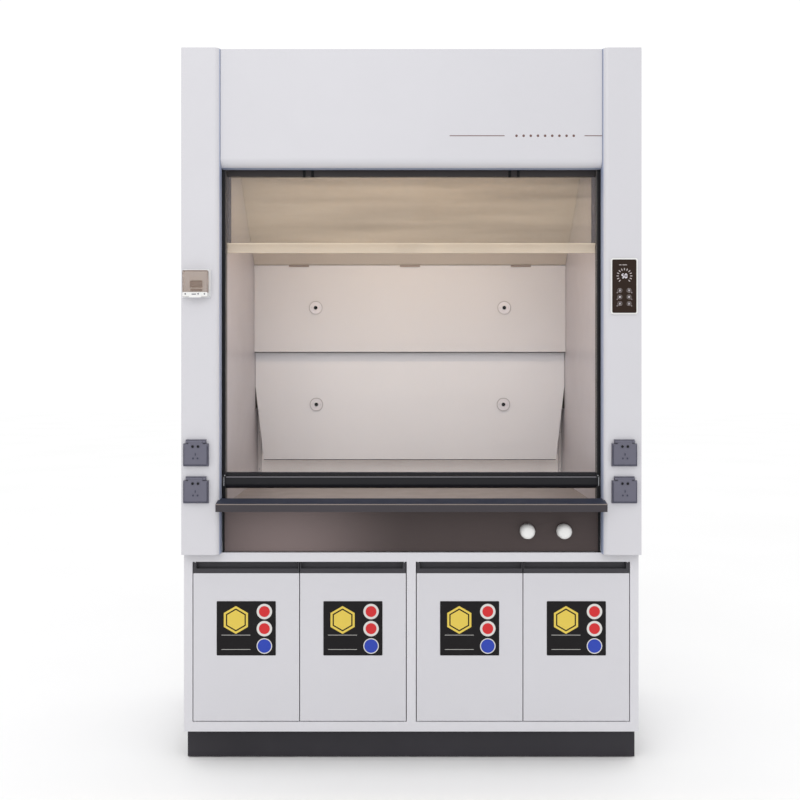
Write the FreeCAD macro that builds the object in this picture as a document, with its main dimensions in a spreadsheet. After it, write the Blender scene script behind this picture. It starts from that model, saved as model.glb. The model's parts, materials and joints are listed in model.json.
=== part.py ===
import FreeCAD, Part
import math
import os
import re
import Sketcher

# A ducted laboratory fume hood, 1500 mm wide. Millimetres: +X to the right, the front
# faces -Y, +Z up, and the origin is on the floor under the middle of the hood.

SIZES = {
    # Whole hood
    "half_width": 750,
    "half_depth": 425,
    "body_top": 2350,
    "sheet_metal": 2,
    # Base cabinet
    "foot_gap": 3,
    "plinth_top": 107,
    "plinth_front": -290,
    "cabinet_front": -344,
    "board": 18,
    "frame_depth": 20,
    "stile_inner": 722,
    "centre_stile": 15,
    "opening_low": 139,
    "opening_high": 667,
    "cabinet_top": 697,
    "shelf_height": 380,
    # Doors
    "door_gap": 3,
    "door_width": 349,
    "door_skin": 1.2,
    "pull_height": 35,
    "pull_groove_depth": 16,
    "pull_pin_end": 10,
    "pull_free_end": 3,
    "pin_inset": 5,
    "pin_radius": 2.5,
    "pin_play": 0.05,
    "pin_length": 12,
    # Worktop, sill and service panel
    "worktop_low": 828,
    "worktop_top": 853,
    "service_front": -335,
    "service_low": 699,
    "service_high": 843,
    "sill_half": 630,
    "sill_front": -425,
    "sill_rear": -370,
    "sill_high": 880,
    "sill_low": 843,
    # Columns and header
    "column_inner": 625,
    "column_front": -385,
    "column_rounding": 18,
    "header_front": -370,
    "header_low": 1963,
    "header_rear": -334,
    # Work chamber
    "liner_inner": 620,
    "liner_sheet": 4,
    "liner_front": -298,
    "chamber_rear": 400,
    "ceiling": 2033,
    "baffle_sheet": 5,
    "middle_face": 286,
    "middle_low": 1376,
    "middle_high": 1720,
    "lower_face": 316,
    "lower_low": 946,
    "lower_knee": 1236,
    "lower_high": 1380,
    "lower_half": 586,
    "baffle_top_front": -45,
    "baffle_top_high": 2026,
    "socket_half_pitch": 374.5,
    "socket_high": 1551,
    "socket_low": 1166,
    "socket_bore": 6.5,
    # Sash
    "glass": 5,
    "sash_plane": -325,
    "sash_half": 628,
    "sash_glass_top": 1720,
    "handle_low": 908,
    "handle_high": 961,
    "handle_grip": 952,
    "handle_half": 613,
    "handle_front": -345,
    "fixed_plane": -309.5,
    "fixed_low": 1690,
    "rail_shown": 19,
    "track_inner": 615,
    "track_outer": 641,
    # Sash drive
    "belt_x": 690,
    "belt_width": 12,
    "belt_thick": 3,
    "drive_y": -285,
    "pulley_high": 2280,
    "pulley_low": 800,
    "pulley_radius": 40,
    "belt_play": 0.4,
    "shaft_radius": 8,
    "axle_radius": 6,
    "bearing_play": 0.05,
    "weight_side": 42,
    "weight_length": 560,
    "weight_low": 1660,
    # Fittings
    "collar_radius": 125,
    "collar_height": 60,
    "collar_y": 175,
    "breaker_x": -699,
    "breaker_z": 1581,
    "breaker_side": 93,
    "panel_x": 692,
    "panel_z": 1572,
    "panel_width": 78,
    "panel_height": 173,
    "outlet_left": -700,
    "outlet_right": 692,
    "outlet_high": 1030,
    "outlet_low": 910,
    "outlet_width": 82,
    "outlet_height": 87,
    "knob_one": 383,
    "knob_two": 504,
    "knob_z": 768,
    "knob_radius": 25,
    "stem_radius": 5,
    "stem_play": 0.05,
}

doc = FreeCAD.newDocument("FumeHood")
sheet = doc.addObject("Spreadsheet::Sheet", "Sizes")
for row, (alias, amount) in enumerate(SIZES.items(), start=1):
    sheet.set(f"A{row}", alias)
    sheet.set(f"B{row}", str(amount))
    sheet.setAlias(f"B{row}", alias)
doc.recompute()

WORD = re.compile(r"[a-z_]{3,}")
AXES = {
    "x": FreeCAD.Rotation(FreeCAD.Vector(0, 1, 0), 90),
    "y": FreeCAD.Rotation(FreeCAD.Vector(1, 0, 0), -90),
    "-y": FreeCAD.Rotation(FreeCAD.Vector(1, 0, 0), 90),
    "z": FreeCAD.Rotation(),
}
PLANES = {"XY": "XY_Plane", "XZ": "XZ_Plane", "YZ": "YZ_Plane"}

nodes = []


def with_sheet(formula):
    """The formula with each alias written as the sheet's cell."""
    return WORD.sub(lambda word: f"Sizes.{word[0]}" if word[0] in SIZES else word[0], str(formula))


def bind(item, prop, formula):
    """Ties a property to a formula of the sheet's aliases."""
    item.setExpression(prop, with_sheet(formula))


def place(item, position):
    """Ties an object's position to three formulas."""
    for axis, formula in zip("xyz", position):
        bind(item, f"Placement.Base.{axis}", formula)


def box(name, low, high):
    """A box from its lowest corner to its highest."""
    item = doc.addObject("Part::Box", name)
    for prop, start, end in zip(("Length", "Width", "Height"), low, high):
        bind(item, prop, f"({end}) - ({start})")
    place(item, low)
    return item


def rod(name, start, axis, radius, length):
    """A cylinder from the centre of its first end along an axis."""
    item = doc.addObject("Part::Cylinder", name)
    bind(item, "Radius", radius)
    bind(item, "Height", length)
    item.Placement = FreeCAD.Placement(FreeCAD.Vector(), AXES[axis])
    place(item, start)
    return item


def mirrored(name, item):
    """The left-hand twin of a right-hand piece."""
    twin = doc.addObject("Part::Mirroring", name)
    twin.Source = item
    twin.Normal = FreeCAD.Vector(1, 0, 0)
    return twin


def joined(name, items):
    """One solid from several that overlap."""
    item = doc.addObject("Part::MultiFuse", name)
    item.Shapes = items
    item.Refine = True
    return item


def cut(name, base, tool):
    """The base with the tool taken away."""
    item = doc.addObject("Part::Cut", name)
    item.Base = base
    item.Tool = tool
    return item


def group(name, items):
    """Separate solids that are kept together as one node."""
    item = doc.addObject("Part::Compound", name)
    item.Links = items
    return item


def pair(name, item):
    """A right-hand piece and its left-hand twin as one node."""
    return group(name, [item, mirrored(f"{name}_twin", item)])


def node(item, label):
    """Lists an object as a sub-part, under the name of its file."""
    item.Label = label
    nodes.append(item)
    return item


def new_body(name):
    """An empty part design body."""
    return doc.addObject("PartDesign::Body", name)


def sketch_on(body, name, plane, offset="0"):
    """An empty sketch on one of the body's own planes, moved along its normal."""
    sketch = body.newObject("Sketcher::SketchObject", name)
    features = body.Origin.OriginFeatures
    sketch.AttachmentSupport = [(next(f for f in features if f.Role == PLANES[plane]), "")]
    sketch.MapMode = "FlatFace"
    bind(sketch, "AttachmentOffset.Base.z", offset)
    return sketch


def tie(sketch, kind, geometry, point, formula):
    """Adds a distance or a radius that follows a formula."""
    if kind == "Radius":
        constraint = Sketcher.Constraint("Radius", geometry, 10.0)
    else:
        constraint = Sketcher.Constraint(kind, -1, 1, geometry, point, 10.0)
    name = f"{kind}{geometry}"
    sketch.renameConstraint(sketch.addConstraint(constraint), name)
    bind(sketch, f"Constraints.{name}", formula)


def draw_outline(sketch, corners):
    """A closed outline whose corners follow pairs of formulas."""
    first = sketch.GeometryCount
    count = len(corners)
    ring = [2 * math.pi * turn / count for turn in range(count + 1)]
    spots = [FreeCAD.Vector(math.cos(angle), math.sin(angle), 0) for angle in ring]
    for start, end in zip(spots, spots[1:]):
        sketch.addGeometry(Part.LineSegment(start, end))
    for side in range(count):
        following = first + (side + 1) % count
        sketch.addConstraint(Sketcher.Constraint("Coincident", first + side, 2, following, 1))
    for side, (across, up) in enumerate(corners, start=first):
        tie(sketch, "DistanceX", side, 1, across)
        tie(sketch, "DistanceY", side, 1, up)


def draw_circle(sketch, across, up, radius):
    """A circle whose centre and radius follow formulas."""
    round_edge = Part.Circle(FreeCAD.Vector(1, 1, 0), FreeCAD.Vector(0, 0, 1), 1)
    side = sketch.addGeometry(round_edge)
    tie(sketch, "DistanceX", side, 3, across)
    tie(sketch, "DistanceY", side, 3, up)
    tie(sketch, "Radius", side, 3, radius)


def pad(body, sketch, length, symmetric=False):
    """Extrudes a sketch along its normal, or both ways from its plane."""
    feature = body.newObject("PartDesign::Pad", f"{sketch.Name}_pad")
    feature.Profile = sketch
    if symmetric:
        feature.SideType = "Symmetric"
    bind(feature, "Length", length)
    return feature


def pocket(body, sketch, length, reverse=False):
    """Cuts a sketch out of the body, against its normal unless reversed."""
    feature = body.newObject("PartDesign::Pocket", f"{sketch.Name}_pocket")
    feature.Profile = sketch
    feature.Reversed = reverse
    bind(feature, "Length", length)
    return feature


def spun(body, sketch, axis="V_Axis"):
    """Turns a sketch about one of its own axes."""
    feature = body.newObject("PartDesign::Revolution", f"{sketch.Name}_turn")
    feature.Profile = sketch
    feature.ReferenceAxis = (sketch, [axis])
    feature.Angle = 360
    return feature


def round_edges(body, feature, wanted, radius):
    """Rounds the feature's edges that a test picks."""
    doc.recompute()
    edges = feature.Shape.Edges
    names = [f"Edge{number}" for number, edge in enumerate(edges, start=1) if wanted(edge)]
    rounded = body.newObject("PartDesign::Fillet", f"{feature.Name}_rounded")
    rounded.Base = (feature, names)
    bind(rounded, "Radius", radius)
    return rounded


def runs_along(edge, axis):
    """Says whether a straight edge runs along x, y or z."""
    span = edge.BoundBox
    lengths = {"x": span.XLength, "y": span.YLength, "z": span.ZLength}
    return all((lengths[name] > 0.01) == (name == axis) for name in lengths)


# ---- Base cabinet ----


def make_plinth():
    """The dark toe kick: four boards in a ring."""
    inner_front = "plinth_front + board"
    inner_rear = "half_depth - board"
    front = box("plinth_front_board", ("-half_width", "plinth_front", "foot_gap"),
                ("half_width", inner_front, "plinth_top"))
    rear = box("plinth_rear_board", ("-half_width", inner_rear, "foot_gap"),
               ("half_width", "half_depth", "plinth_top"))
    side = box("plinth_side_board", ("half_width - board", inner_front, "foot_gap"),
               ("half_width", inner_rear, "plinth_top"))
    twin = mirrored("plinth_side_twin", side)
    node(group("plinth_boards", [front, rear, side, twin]), "plinth")


def make_leveling_feet():
    """Six threaded feet inside the plinth, each a pad with its stud."""
    feet = []
    spots = [(x, y) for x in ("-690", "0", "690") for y in ("plinth_front + 50", "half_depth - 60")]
    for number, (x, y) in enumerate(spots, start=1):
        disc = rod(f"foot_disc_{number}", (x, y, "0"), "z", "25", "8")
        stud = rod(f"foot_stud_{number}", (x, y, "4"), "z", "5", "plinth_top - 4")
        feet.append(joined(f"foot_{number}", [disc, stud]))
    node(group("feet", feet), "leveling_feet")


def make_cabinet_carcass():
    """Sides, floor, top, back and the dividing wall, as separate boards."""
    inner = "half_width - board"
    front = "cabinet_front + frame_depth"
    rear = "half_depth - board"
    side = box("carcass_side", (inner, front, "plinth_top"), ("half_width", "half_depth", "cabinet_top"))
    floor = box("carcass_floor", (f"-({inner})", front, "plinth_top"),
                (inner, rear, "plinth_top + board"))
    lid = box("carcass_top", (f"-({inner})", front, "cabinet_top - board"), (inner, rear, "cabinet_top"))
    back = box("carcass_back", (f"-({inner})", rear, "plinth_top"), (inner, "half_depth", "cabinet_top"))
    wall = box("carcass_wall", ("-board / 2", front, "plinth_top + board"),
               ("board / 2", rear, "cabinet_top - board"))
    boards = [side, mirrored("carcass_side_twin", side), floor, lid, back, wall]
    node(group("carcass_boards", boards), "cabinet_carcass")


def make_cabinet_front_frame():
    """Stiles and rails around the doors."""
    front = "cabinet_front"
    rear = "cabinet_front + frame_depth"
    stile = box("outer_stile", ("stile_inner", front, "plinth_top"), ("half_width", rear, "cabinet_top"))
    centre = box("middle_stile", ("-centre_stile", front, "opening_low"),
                 ("centre_stile", rear, "opening_high"))
    low = box("low_rail", ("-stile_inner", front, "plinth_top"), ("stile_inner", rear, "opening_low"))
    high = box("high_rail", ("-stile_inner", front, "opening_high"), ("stile_inner", rear, "cabinet_top"))
    node(group("front_boards", [stile, mirrored("outer_stile_twin", stile), centre, low, high]),
         "cabinet_front_frame")


def make_cabinet_shelves():
    """One shelf in each half of the cabinet."""
    shelf = box("shelf", ("board / 2", "-200", "shelf_height"),
                ("half_width - board", "half_depth - board", "shelf_height + board"))
    node(pair("shelves", shelf), "cabinet_shelves")


# Each door's left edge and its pivot line. The outer doors hang at the cabinet's
# sides and the inner ones at the centre stile.
INNER_EDGE = "centre_stile + door_gap"
OUTER_EDGE = "stile_inner - door_gap"
DOORS = [
    (f"-({OUTER_EDGE})", f"-({OUTER_EDGE} - pin_inset)"),
    (f"-({INNER_EDGE}) - door_width", f"-({INNER_EDGE} + pin_inset)"),
    (INNER_EDGE, f"{INNER_EDGE} + pin_inset"),
    (f"{OUTER_EDGE} - door_width", f"{OUTER_EDGE} - pin_inset"),
]
DOOR_LOW = "opening_low + door_gap"
DOOR_HIGH = "opening_high - door_gap"
PULL_LOW = f"{DOOR_HIGH} - pull_height"
PIN_LINE = "cabinet_front + pin_inset"


def make_door_pivot_pins():
    """A pin above and a pin below each door, fixed to the rails."""
    pins = []
    for number, (_, pivot) in enumerate(DOORS, start=1):
        low = (pivot, PIN_LINE, "opening_low")
        high = (pivot, PIN_LINE, "opening_high - pin_length")
        pins.append(rod(f"low_pin_{number}", low, "z", "pin_radius", "pin_length"))
        pins.append(rod(f"high_pin_{number}", high, "z", "pin_radius", "pin_length"))
    node(group("pivot_pins", pins), "door_pivot_pins")


def make_door(number, edge, pivot):
    """A folded steel tray closed by an inner skin."""
    right = f"{edge} + door_width"
    rear = "cabinet_front + frame_depth"
    shell = box(f"door_shell_{number}", (edge, "cabinet_front", DOOR_LOW), (right, rear, PULL_LOW))
    hollow = box(f"door_hollow_{number}",
                 (f"{edge} + door_skin", "cabinet_front + door_skin", f"{DOOR_LOW} + door_skin"),
                 (f"{right} - door_skin", f"{rear} + 1", f"{PULL_LOW} - door_skin"))
    hole = rod(f"door_hole_{number}", (pivot, PIN_LINE, f"{DOOR_LOW} - 1"), "z",
               "pin_radius + pin_play", "door_skin + 2")
    tray = cut(f"door_tray_{number}", cut(f"door_pan_{number}", shell, hollow), hole)
    skin = box(f"door_inner_{number}",
               (f"{edge} + door_skin", f"{rear} - door_skin", f"{DOOR_LOW} + door_skin"),
               (f"{right} - door_skin", rear, f"{PULL_LOW} - door_skin"))
    node(group(f"door_pieces_{number}", [tray, skin]), f"door_{number}")


def make_door_pull(number, edge, pivot):
    """The dark pull along the top of a door: a finger groove behind a low lip."""
    front = "cabinet_front"
    rear = "cabinet_front + frame_depth"
    groove_rear = f"{front} + pull_groove_depth"
    pinned_left = number % 2 == 1
    left_end = "pull_pin_end" if pinned_left else "pull_free_end"
    right_end = "pull_free_end" if pinned_left else "pull_pin_end"
    body = new_body(f"pull_{number}")
    block = sketch_on(body, f"pull_block_{number}", "YZ", edge)
    draw_outline(block, [(front, PULL_LOW), (rear, PULL_LOW), (rear, DOOR_HIGH), (front, DOOR_HIGH)])
    pad(body, block, "door_width")
    groove = sketch_on(body, f"pull_groove_{number}", "YZ", f"{edge} + {left_end}")
    draw_outline(groove, [(f"{front} - 1", f"{PULL_LOW} + 16"), (f"{front} + 3", f"{PULL_LOW} + 15"),
                          (f"{front} + 5", f"{PULL_LOW} + 5"), (groove_rear, f"{PULL_LOW} + 5"),
                          (groove_rear, f"{DOOR_HIGH} + 1"), (f"{front} - 1", f"{DOOR_HIGH} + 1")])
    pocket(body, groove, f"door_width - {left_end} - {right_end}", reverse=True)
    hole = sketch_on(body, f"pull_hole_{number}", "XY", DOOR_HIGH)
    draw_circle(hole, pivot, PIN_LINE, "pin_radius + pin_play")
    pocket(body, hole, "pin_length - 2")
    node(body, f"door_pull_{number}")


# ---- Worktop, sill and supports ----


def make_support_frame():
    """Four steel posts inside the columns and two stands under the worktop."""
    post_inner = "half_width - 34"
    post_outer = "half_width - 4"
    front = box("front_post", (post_inner, "-340", "cabinet_top"), (post_outer, "-310", "body_top - 2"))
    rear = box("rear_post", (post_inner, "391", "cabinet_top"), (post_outer, "421", "body_top - 2"))
    stand = box("stand", ("624", "-325", "cabinet_top"), ("642", "chamber_rear", "worktop_low"))
    pieces = [front, rear, stand]
    twins = [mirrored(f"{piece.Name}_twin", piece) for piece in pieces]
    node(group("supports", pieces + twins), "support_frame")


def make_worktop():
    """The chemical-resistant slab."""
    node(box("worktop_slab", ("-642", "service_front + 3", "worktop_low"),
             ("642", "chamber_rear", "worktop_top")), "worktop")


def make_airfoil_sill():
    """A folded sill: front lip, sloping top, rear leg and a flange under the worktop's edge."""
    skin = "3"
    body = new_body("sill")
    section = sketch_on(body, "sill_section", "YZ")
    draw_outline(section, [
        ("sill_front", "sill_low"),
        ("sill_front", "sill_high - 12"),
        ("sill_rear", "sill_high"),
        ("sill_rear", f"sill_low + {skin}"),
        ("service_front + 3", f"sill_low + {skin}"),
        ("service_front + 3", "sill_low"),
        (f"sill_rear - {skin}", "sill_low"),
        (f"sill_rear - {skin}", f"sill_high - {skin} - 1"),
        (f"sill_front + {skin}", f"sill_high - {skin} - 12"),
        (f"sill_front + {skin}", "sill_low"),
    ])
    plate = pad(body, section, "2 * sill_half", symmetric=True)
    rounded = round_edges(
        body, plate,
        lambda edge: runs_along(edge, "x") and abs(edge.CenterOfMass.y - SIZES["sill_front"]) < 0.1
        and edge.CenterOfMass.z > SIZES["sill_high"] - 14, "2.5")
    body.Tip = rounded
    notch = sketch_on(body, "sill_notch", "XY", "sill_high + 10")
    for side in ("", "-"):
        draw_outline(notch, [(f"{side}(column_inner - 1)", "column_front - 0.5"),
                             (f"{side}(sill_half + 1)", "column_front - 0.5"),
                             (f"{side}(sill_half + 1)", "service_front + 1"),
                             (f"{side}(column_inner - 1)", "service_front + 1")])
    pocket(body, notch, "60")
    node(body, "airfoil_sill")


def make_service_panel():
    """The brown panel under the sill, with a hole for each valve stem."""
    body = new_body("service")
    plate = sketch_on(body, "service_plate", "XZ", "-service_front - 3")
    draw_outline(plate, [("-618", "service_low"), ("618", "service_low"),
                         ("618", "service_high"), ("-618", "service_high")])
    pad(body, plate, "3")
    holes = sketch_on(body, "service_holes", "XZ", "-service_front")
    for knob in ("knob_one", "knob_two"):
        draw_circle(holes, knob, "knob_z", "9")
    pocket(body, holes, "3")
    node(body, "service_panel")


# ---- Columns, header and outer panels ----


def make_column_cover(side, label, windows):
    """A folded column front with a well-rounded inner edge and windows for its fittings."""
    skin = "sheet_metal"
    body = new_body(f"{label}_sheet")
    section = sketch_on(body, f"{label}_section", "XY", "cabinet_top")
    draw_outline(section, [
        (f"{side} * column_inner", "cabinet_front"),
        (f"{side} * column_inner", "column_front"),
        (f"{side} * half_width", "column_front"),
        (f"{side} * half_width", "cabinet_front + 4"),
        (f"{side} * (half_width - {skin})", "cabinet_front + 4"),
        (f"{side} * (half_width - {skin})", f"column_front + {skin}"),
        (f"{side} * (column_inner + {skin})", f"column_front + {skin}"),
        (f"{side} * (column_inner + {skin})", "cabinet_front"),
    ])
    sheet_pad = pad(body, section, "body_top - cabinet_top")
    front = SIZES["column_front"]
    turn = SIZES["column_inner"]
    rim = SIZES["half_width"]
    bends = [(turn, front, "column_rounding"), (turn + 2, front + 2, "column_rounding - 2"),
             (rim, front, "3")]
    feature = sheet_pad
    for bend_x, bend_y, radius in bends:
        feature = round_edges(
            body, feature,
            lambda edge: runs_along(edge, "z") and abs(abs(edge.CenterOfMass.x) - bend_x) < 0.1
            and abs(edge.CenterOfMass.y - bend_y) < 0.1, radius)
        body.Tip = feature
    holes = sketch_on(body, f"{label}_windows", "XZ", "-column_front")
    for x, z, wide, high in windows:
        left, right = f"{x} - {wide} / 2", f"{x} + {wide} / 2"
        low, top = f"{z} - {high} / 2", f"{z} + {high} / 2"
        draw_outline(holes, [(left, low), (right, low), (right, top), (left, top)])
    pocket(body, holes, "sheet_metal + 1")
    node(body, label)


def make_side_panels():
    """The outer side sheets behind the column fronts."""
    sheet_side = box("side_sheet", ("half_width - sheet_metal", "cabinet_front + 4", "cabinet_top"),
                     ("half_width", "half_depth", "body_top"))
    node(pair("side_sheets", sheet_side), "side_panels")


def make_header_panel():
    """The front panel above the sash: flat, with a rounded lower lip turned back and up."""
    skin = "sheet_metal"
    body = new_body("header")
    section = sketch_on(body, "header_section", "YZ")
    draw_outline(section, [
        ("header_front", "body_top"),
        ("header_front", "header_low"),
        ("header_rear", "header_low"),
        ("header_rear", "header_low + 18"),
        (f"header_rear - {skin}", "header_low + 18"),
        (f"header_rear - {skin}", f"header_low + {skin}"),
        (f"header_front + {skin}", f"header_low + {skin}"),
        (f"header_front + {skin}", "body_top"),
    ])
    sheet_pad = pad(body, section, "2 * column_inner - 1", symmetric=True)
    feature = sheet_pad
    for inset, radius in ((0, "30"), (2, "28")):
        feature = round_edges(
            body, feature,
            lambda edge: runs_along(edge, "x")
            and abs(edge.CenterOfMass.y - SIZES["header_front"] - inset) < 0.1
            and abs(edge.CenterOfMass.z - SIZES["header_low"] - inset) < 0.1, radius)
        body.Tip = feature
    node(body, "header_panel")


def make_column_top(low, behind, edge):
    """The small sheet over a column, rounded to fit inside its cover."""
    inner = "column_inner + sheet_metal"
    front = "column_front + sheet_metal"
    body = new_body("top_column")
    plan = sketch_on(body, "top_column_plan", "XY", low)
    draw_outline(plan, [(inner, front), (edge, front), (edge, behind), (inner, behind)])
    plate = pad(body, plan, "sheet_metal")
    front_corner = SIZES["column_front"] + SIZES["sheet_metal"]
    body.Tip = round_edges(
        body, plate,
        lambda side: runs_along(side, "z") and abs(side.CenterOfMass.y - front_corner) < 0.1
        and side.CenterOfMass.x < SIZES["panel_x"], "column_rounding - 2")
    return body


def make_top_panel():
    """The sheets over the top, laid around the square duct opening."""
    low = "body_top - sheet_metal"
    high = "body_top"
    edge = "half_width - sheet_metal"
    hole = "collar_radius + 10"
    rear = "half_depth - sheet_metal"
    behind = "cabinet_front + 4"
    front_sheet = box("top_front", (f"-({edge})", behind, low), (edge, f"collar_y - ({hole})", high))
    rear_sheet = box("top_rear", (f"-({edge})", f"collar_y + {hole}", low), (edge, rear, high))
    side = box("top_side", (hole, f"collar_y - ({hole})", low), (edge, f"collar_y + {hole}", high))
    strip = make_column_top(low, behind, edge)
    lintel = box("top_header", ("-(column_inner - 0.5)", "header_front + sheet_metal", low),
                 ("column_inner - 0.5", behind, high))
    sheets = [front_sheet, rear_sheet, lintel, side, strip]
    twins = [mirrored("top_side_twin", side), mirrored("top_column_twin", strip)]
    node(group("top_sheets", sheets + twins), "top_panel")


def make_exhaust_collar():
    """The round duct spigot on its square flange."""
    reach = "collar_radius + 25"
    flange = box("collar_flange", (f"-({reach})", f"collar_y - ({reach})", "body_top"),
                 (reach, f"collar_y + {reach}", "body_top + 3"))
    tube = rod("collar_tube", ("0", "collar_y", "body_top"), "z", "collar_radius", "collar_height")
    bore = rod("collar_bore", ("0", "collar_y", "body_top - 1"), "z", "collar_radius - 2",
               "collar_height + 2")
    node(cut("collar", joined("collar_blank", [flange, tube]), bore), "exhaust_collar")


def make_back_panel():
    """The rear sheet of the upper part."""
    edge = "half_width - sheet_metal"
    node(box("back_sheet", (f"-({edge})", "half_depth - sheet_metal", "cabinet_top"),
             (edge, "half_depth", "body_top")), "back_panel")


# ---- Work chamber ----


def make_liners():
    """Inner side walls, rear wall and the walls of the plenum above the slanted baffle."""
    inner = "liner_inner"
    outer = "liner_inner + liner_sheet"
    plenum = "baffle_top_front + 5"
    roof = "body_top - sheet_metal"
    side = box("liner_side", (inner, "liner_front", "worktop_top"), (outer, "chamber_rear", "ceiling"))
    upper = box("liner_upper", (inner, plenum, "ceiling"), (outer, "chamber_rear", roof))
    rear = box("liner_rear", (f"-({outer})", "chamber_rear", "worktop_top"),
               (outer, "chamber_rear + liner_sheet", roof))
    front = box("liner_plenum", (f"-{inner}", "baffle_top_front + 1", "ceiling + 4"),
                (inner, plenum, roof))
    sides = [side, mirrored("liner_side_twin", side), upper, mirrored("liner_upper_twin", upper)]
    node(group("liner_sheets", sides + [rear, front]), "liners")


def make_chamber_ceiling():
    """The ceiling over the front of the chamber and its turned-down front edge."""
    roof = box("ceiling_sheet", ("-liner_inner", "liner_front", "ceiling"),
               ("liner_inner", "baffle_top_front", "ceiling + liner_sheet"))
    edge = box("ceiling_edge", ("-liner_inner", "liner_front", "header_low + 20"),
               ("liner_inner", "liner_front + liner_sheet", "ceiling"))
    node(group("ceiling_sheets", [roof, edge]), "chamber_ceiling")


def make_baffle_top():
    """The slanted baffle from the middle baffle up to the ceiling."""
    body = new_body("slant")
    section = sketch_on(body, "slant_section", "YZ")
    draw_outline(section, [("middle_face", "middle_high + 2"), ("baffle_top_front", "baffle_top_high"),
                           ("baffle_top_front", "ceiling"), ("middle_face", "middle_high + 9")])
    pad(body, section, "2 * liner_inner - 2", symmetric=True)
    node(body, "baffle_top")


def make_flat_baffle(label, face, corners, height):
    """A flat baffle with two holes for the rod sockets."""
    body = new_body(f"{label}_plate")
    plate = sketch_on(body, f"{label}_shape", "XZ", f"-({face} + baffle_sheet)")
    draw_outline(plate, corners)
    pad(body, plate, "baffle_sheet")
    holes = sketch_on(body, f"{label}_holes", "XZ", f"-({face})")
    draw_circle(holes, "socket_half_pitch", height, "12")
    draw_circle(holes, "-socket_half_pitch", height, "12")
    pocket(body, holes, "baffle_sheet")
    node(body, label)


def make_rod_sockets():
    """Four threaded sockets that also hold the baffles off the rear wall."""
    sockets = []
    for name, face, height in (("high", "middle_face", "socket_high"), ("low", "lower_face", "socket_low")):
        flange = rod(f"{name}_flange", ("socket_half_pitch", f"{face} - 4", height), "y", "25", "4")
        shank = rod(f"{name}_shank", ("socket_half_pitch", face, height), "y", "12",
                    f"chamber_rear - {face}")
        bore = rod(f"{name}_bore", ("socket_half_pitch", f"{face} - 5", height), "y", "socket_bore", "45")
        socket = cut(f"{name}_socket", joined(f"{name}_blank", [flange, shank]), bore)
        sockets += [socket, mirrored(f"{name}_socket_twin", socket)]
    node(group("sockets", sockets), "rod_sockets")


def make_baffle_hangers():
    """Three clips along the top edge of the middle baffle."""
    clips = [box(f"clip_{number}", (f"{x} - 40", "middle_face - 4", "middle_high - 7"),
                 (f"{x} + 40", "middle_face", "middle_high + 1"))
             for number, x in enumerate(("-441", "0", "441"), start=1)]
    node(group("clips", clips), "baffle_hangers")


def make_lamp():
    """The lamp under the ceiling: a housing with two clips, and its diffuser."""
    housing = box("housing", ("-450", "-285", "ceiling - 33"), ("450", "-215", "ceiling"))
    clip = box("lamp_clip", ("325", "-262", "ceiling - 60"), ("359", "-240", "ceiling - 39"))
    clips = [clip, mirrored("lamp_clip_twin", clip)]
    node(group("lamp_parts", [housing] + clips), "lamp_housing")
    node(box("diffuser", ("-445", "-280", "ceiling - 39"), ("445", "-220", "ceiling - 33")),
         "lamp_diffuser")


def make_upper_glass():
    """The fixed pane above the sash and the rail that holds its top edge."""
    half = "glass / 2"
    node(box("fixed_pane", ("-634", f"fixed_plane - {half}", "fixed_low"),
             ("634", f"fixed_plane + {half}", "header_low")), "upper_glass")
    rail = box("pane_rail_blank", ("-handle_half", "fixed_plane - 7", "header_low - rail_shown"),
               ("handle_half", "liner_front", "header_low + 20"))
    slot = box("pane_rail_slot", ("-handle_half", f"fixed_plane - {half}", "header_low - rail_shown"),
               ("handle_half", f"fixed_plane + {half}", "header_low"))
    node(cut("pane_rail", rail, slot), "upper_glass_rail")


# ---- Sash and its drive ----


def make_sash_tracks():
    """Black guides with a slot for the sliding glass and a slot for the fixed pane."""
    body = new_body("track")
    section = sketch_on(body, "track_section", "XY", "worktop_top")
    slide, rest = "sash_plane", "fixed_plane"
    play = "glass / 2 + 1"
    snug = "glass / 2"
    inner, outer, floor = "track_inner", "track_outer", "634"
    draw_outline(section, [
        (inner, f"{slide} - 8"), (outer, f"{slide} - 8"), (outer, f"{rest} + 8"), (inner, f"{rest} + 8"),
        (inner, f"{rest} + {snug}"), (floor, f"{rest} + {snug}"),
        (floor, f"{rest} - ({snug})"), (inner, f"{rest} - ({snug})"),
        (inner, f"{slide} + {play}"), (floor, f"{slide} + {play}"),
        (floor, f"{slide} - ({play})"), (inner, f"{slide} - ({play})"),
    ])
    pad(body, section, "body_top - worktop_top - 10")
    node(pair("tracks", body), "sash_tracks")


def at_handle_front(edge, height):
    """Says whether an edge runs along the front of the sash handle at a height."""
    middle = edge.BoundBox.Center
    level = abs(middle.z - SIZES[height]) < 0.01
    return runs_along(edge, "x") and level and abs(middle.y - SIZES["handle_front"]) < 0.01


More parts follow.
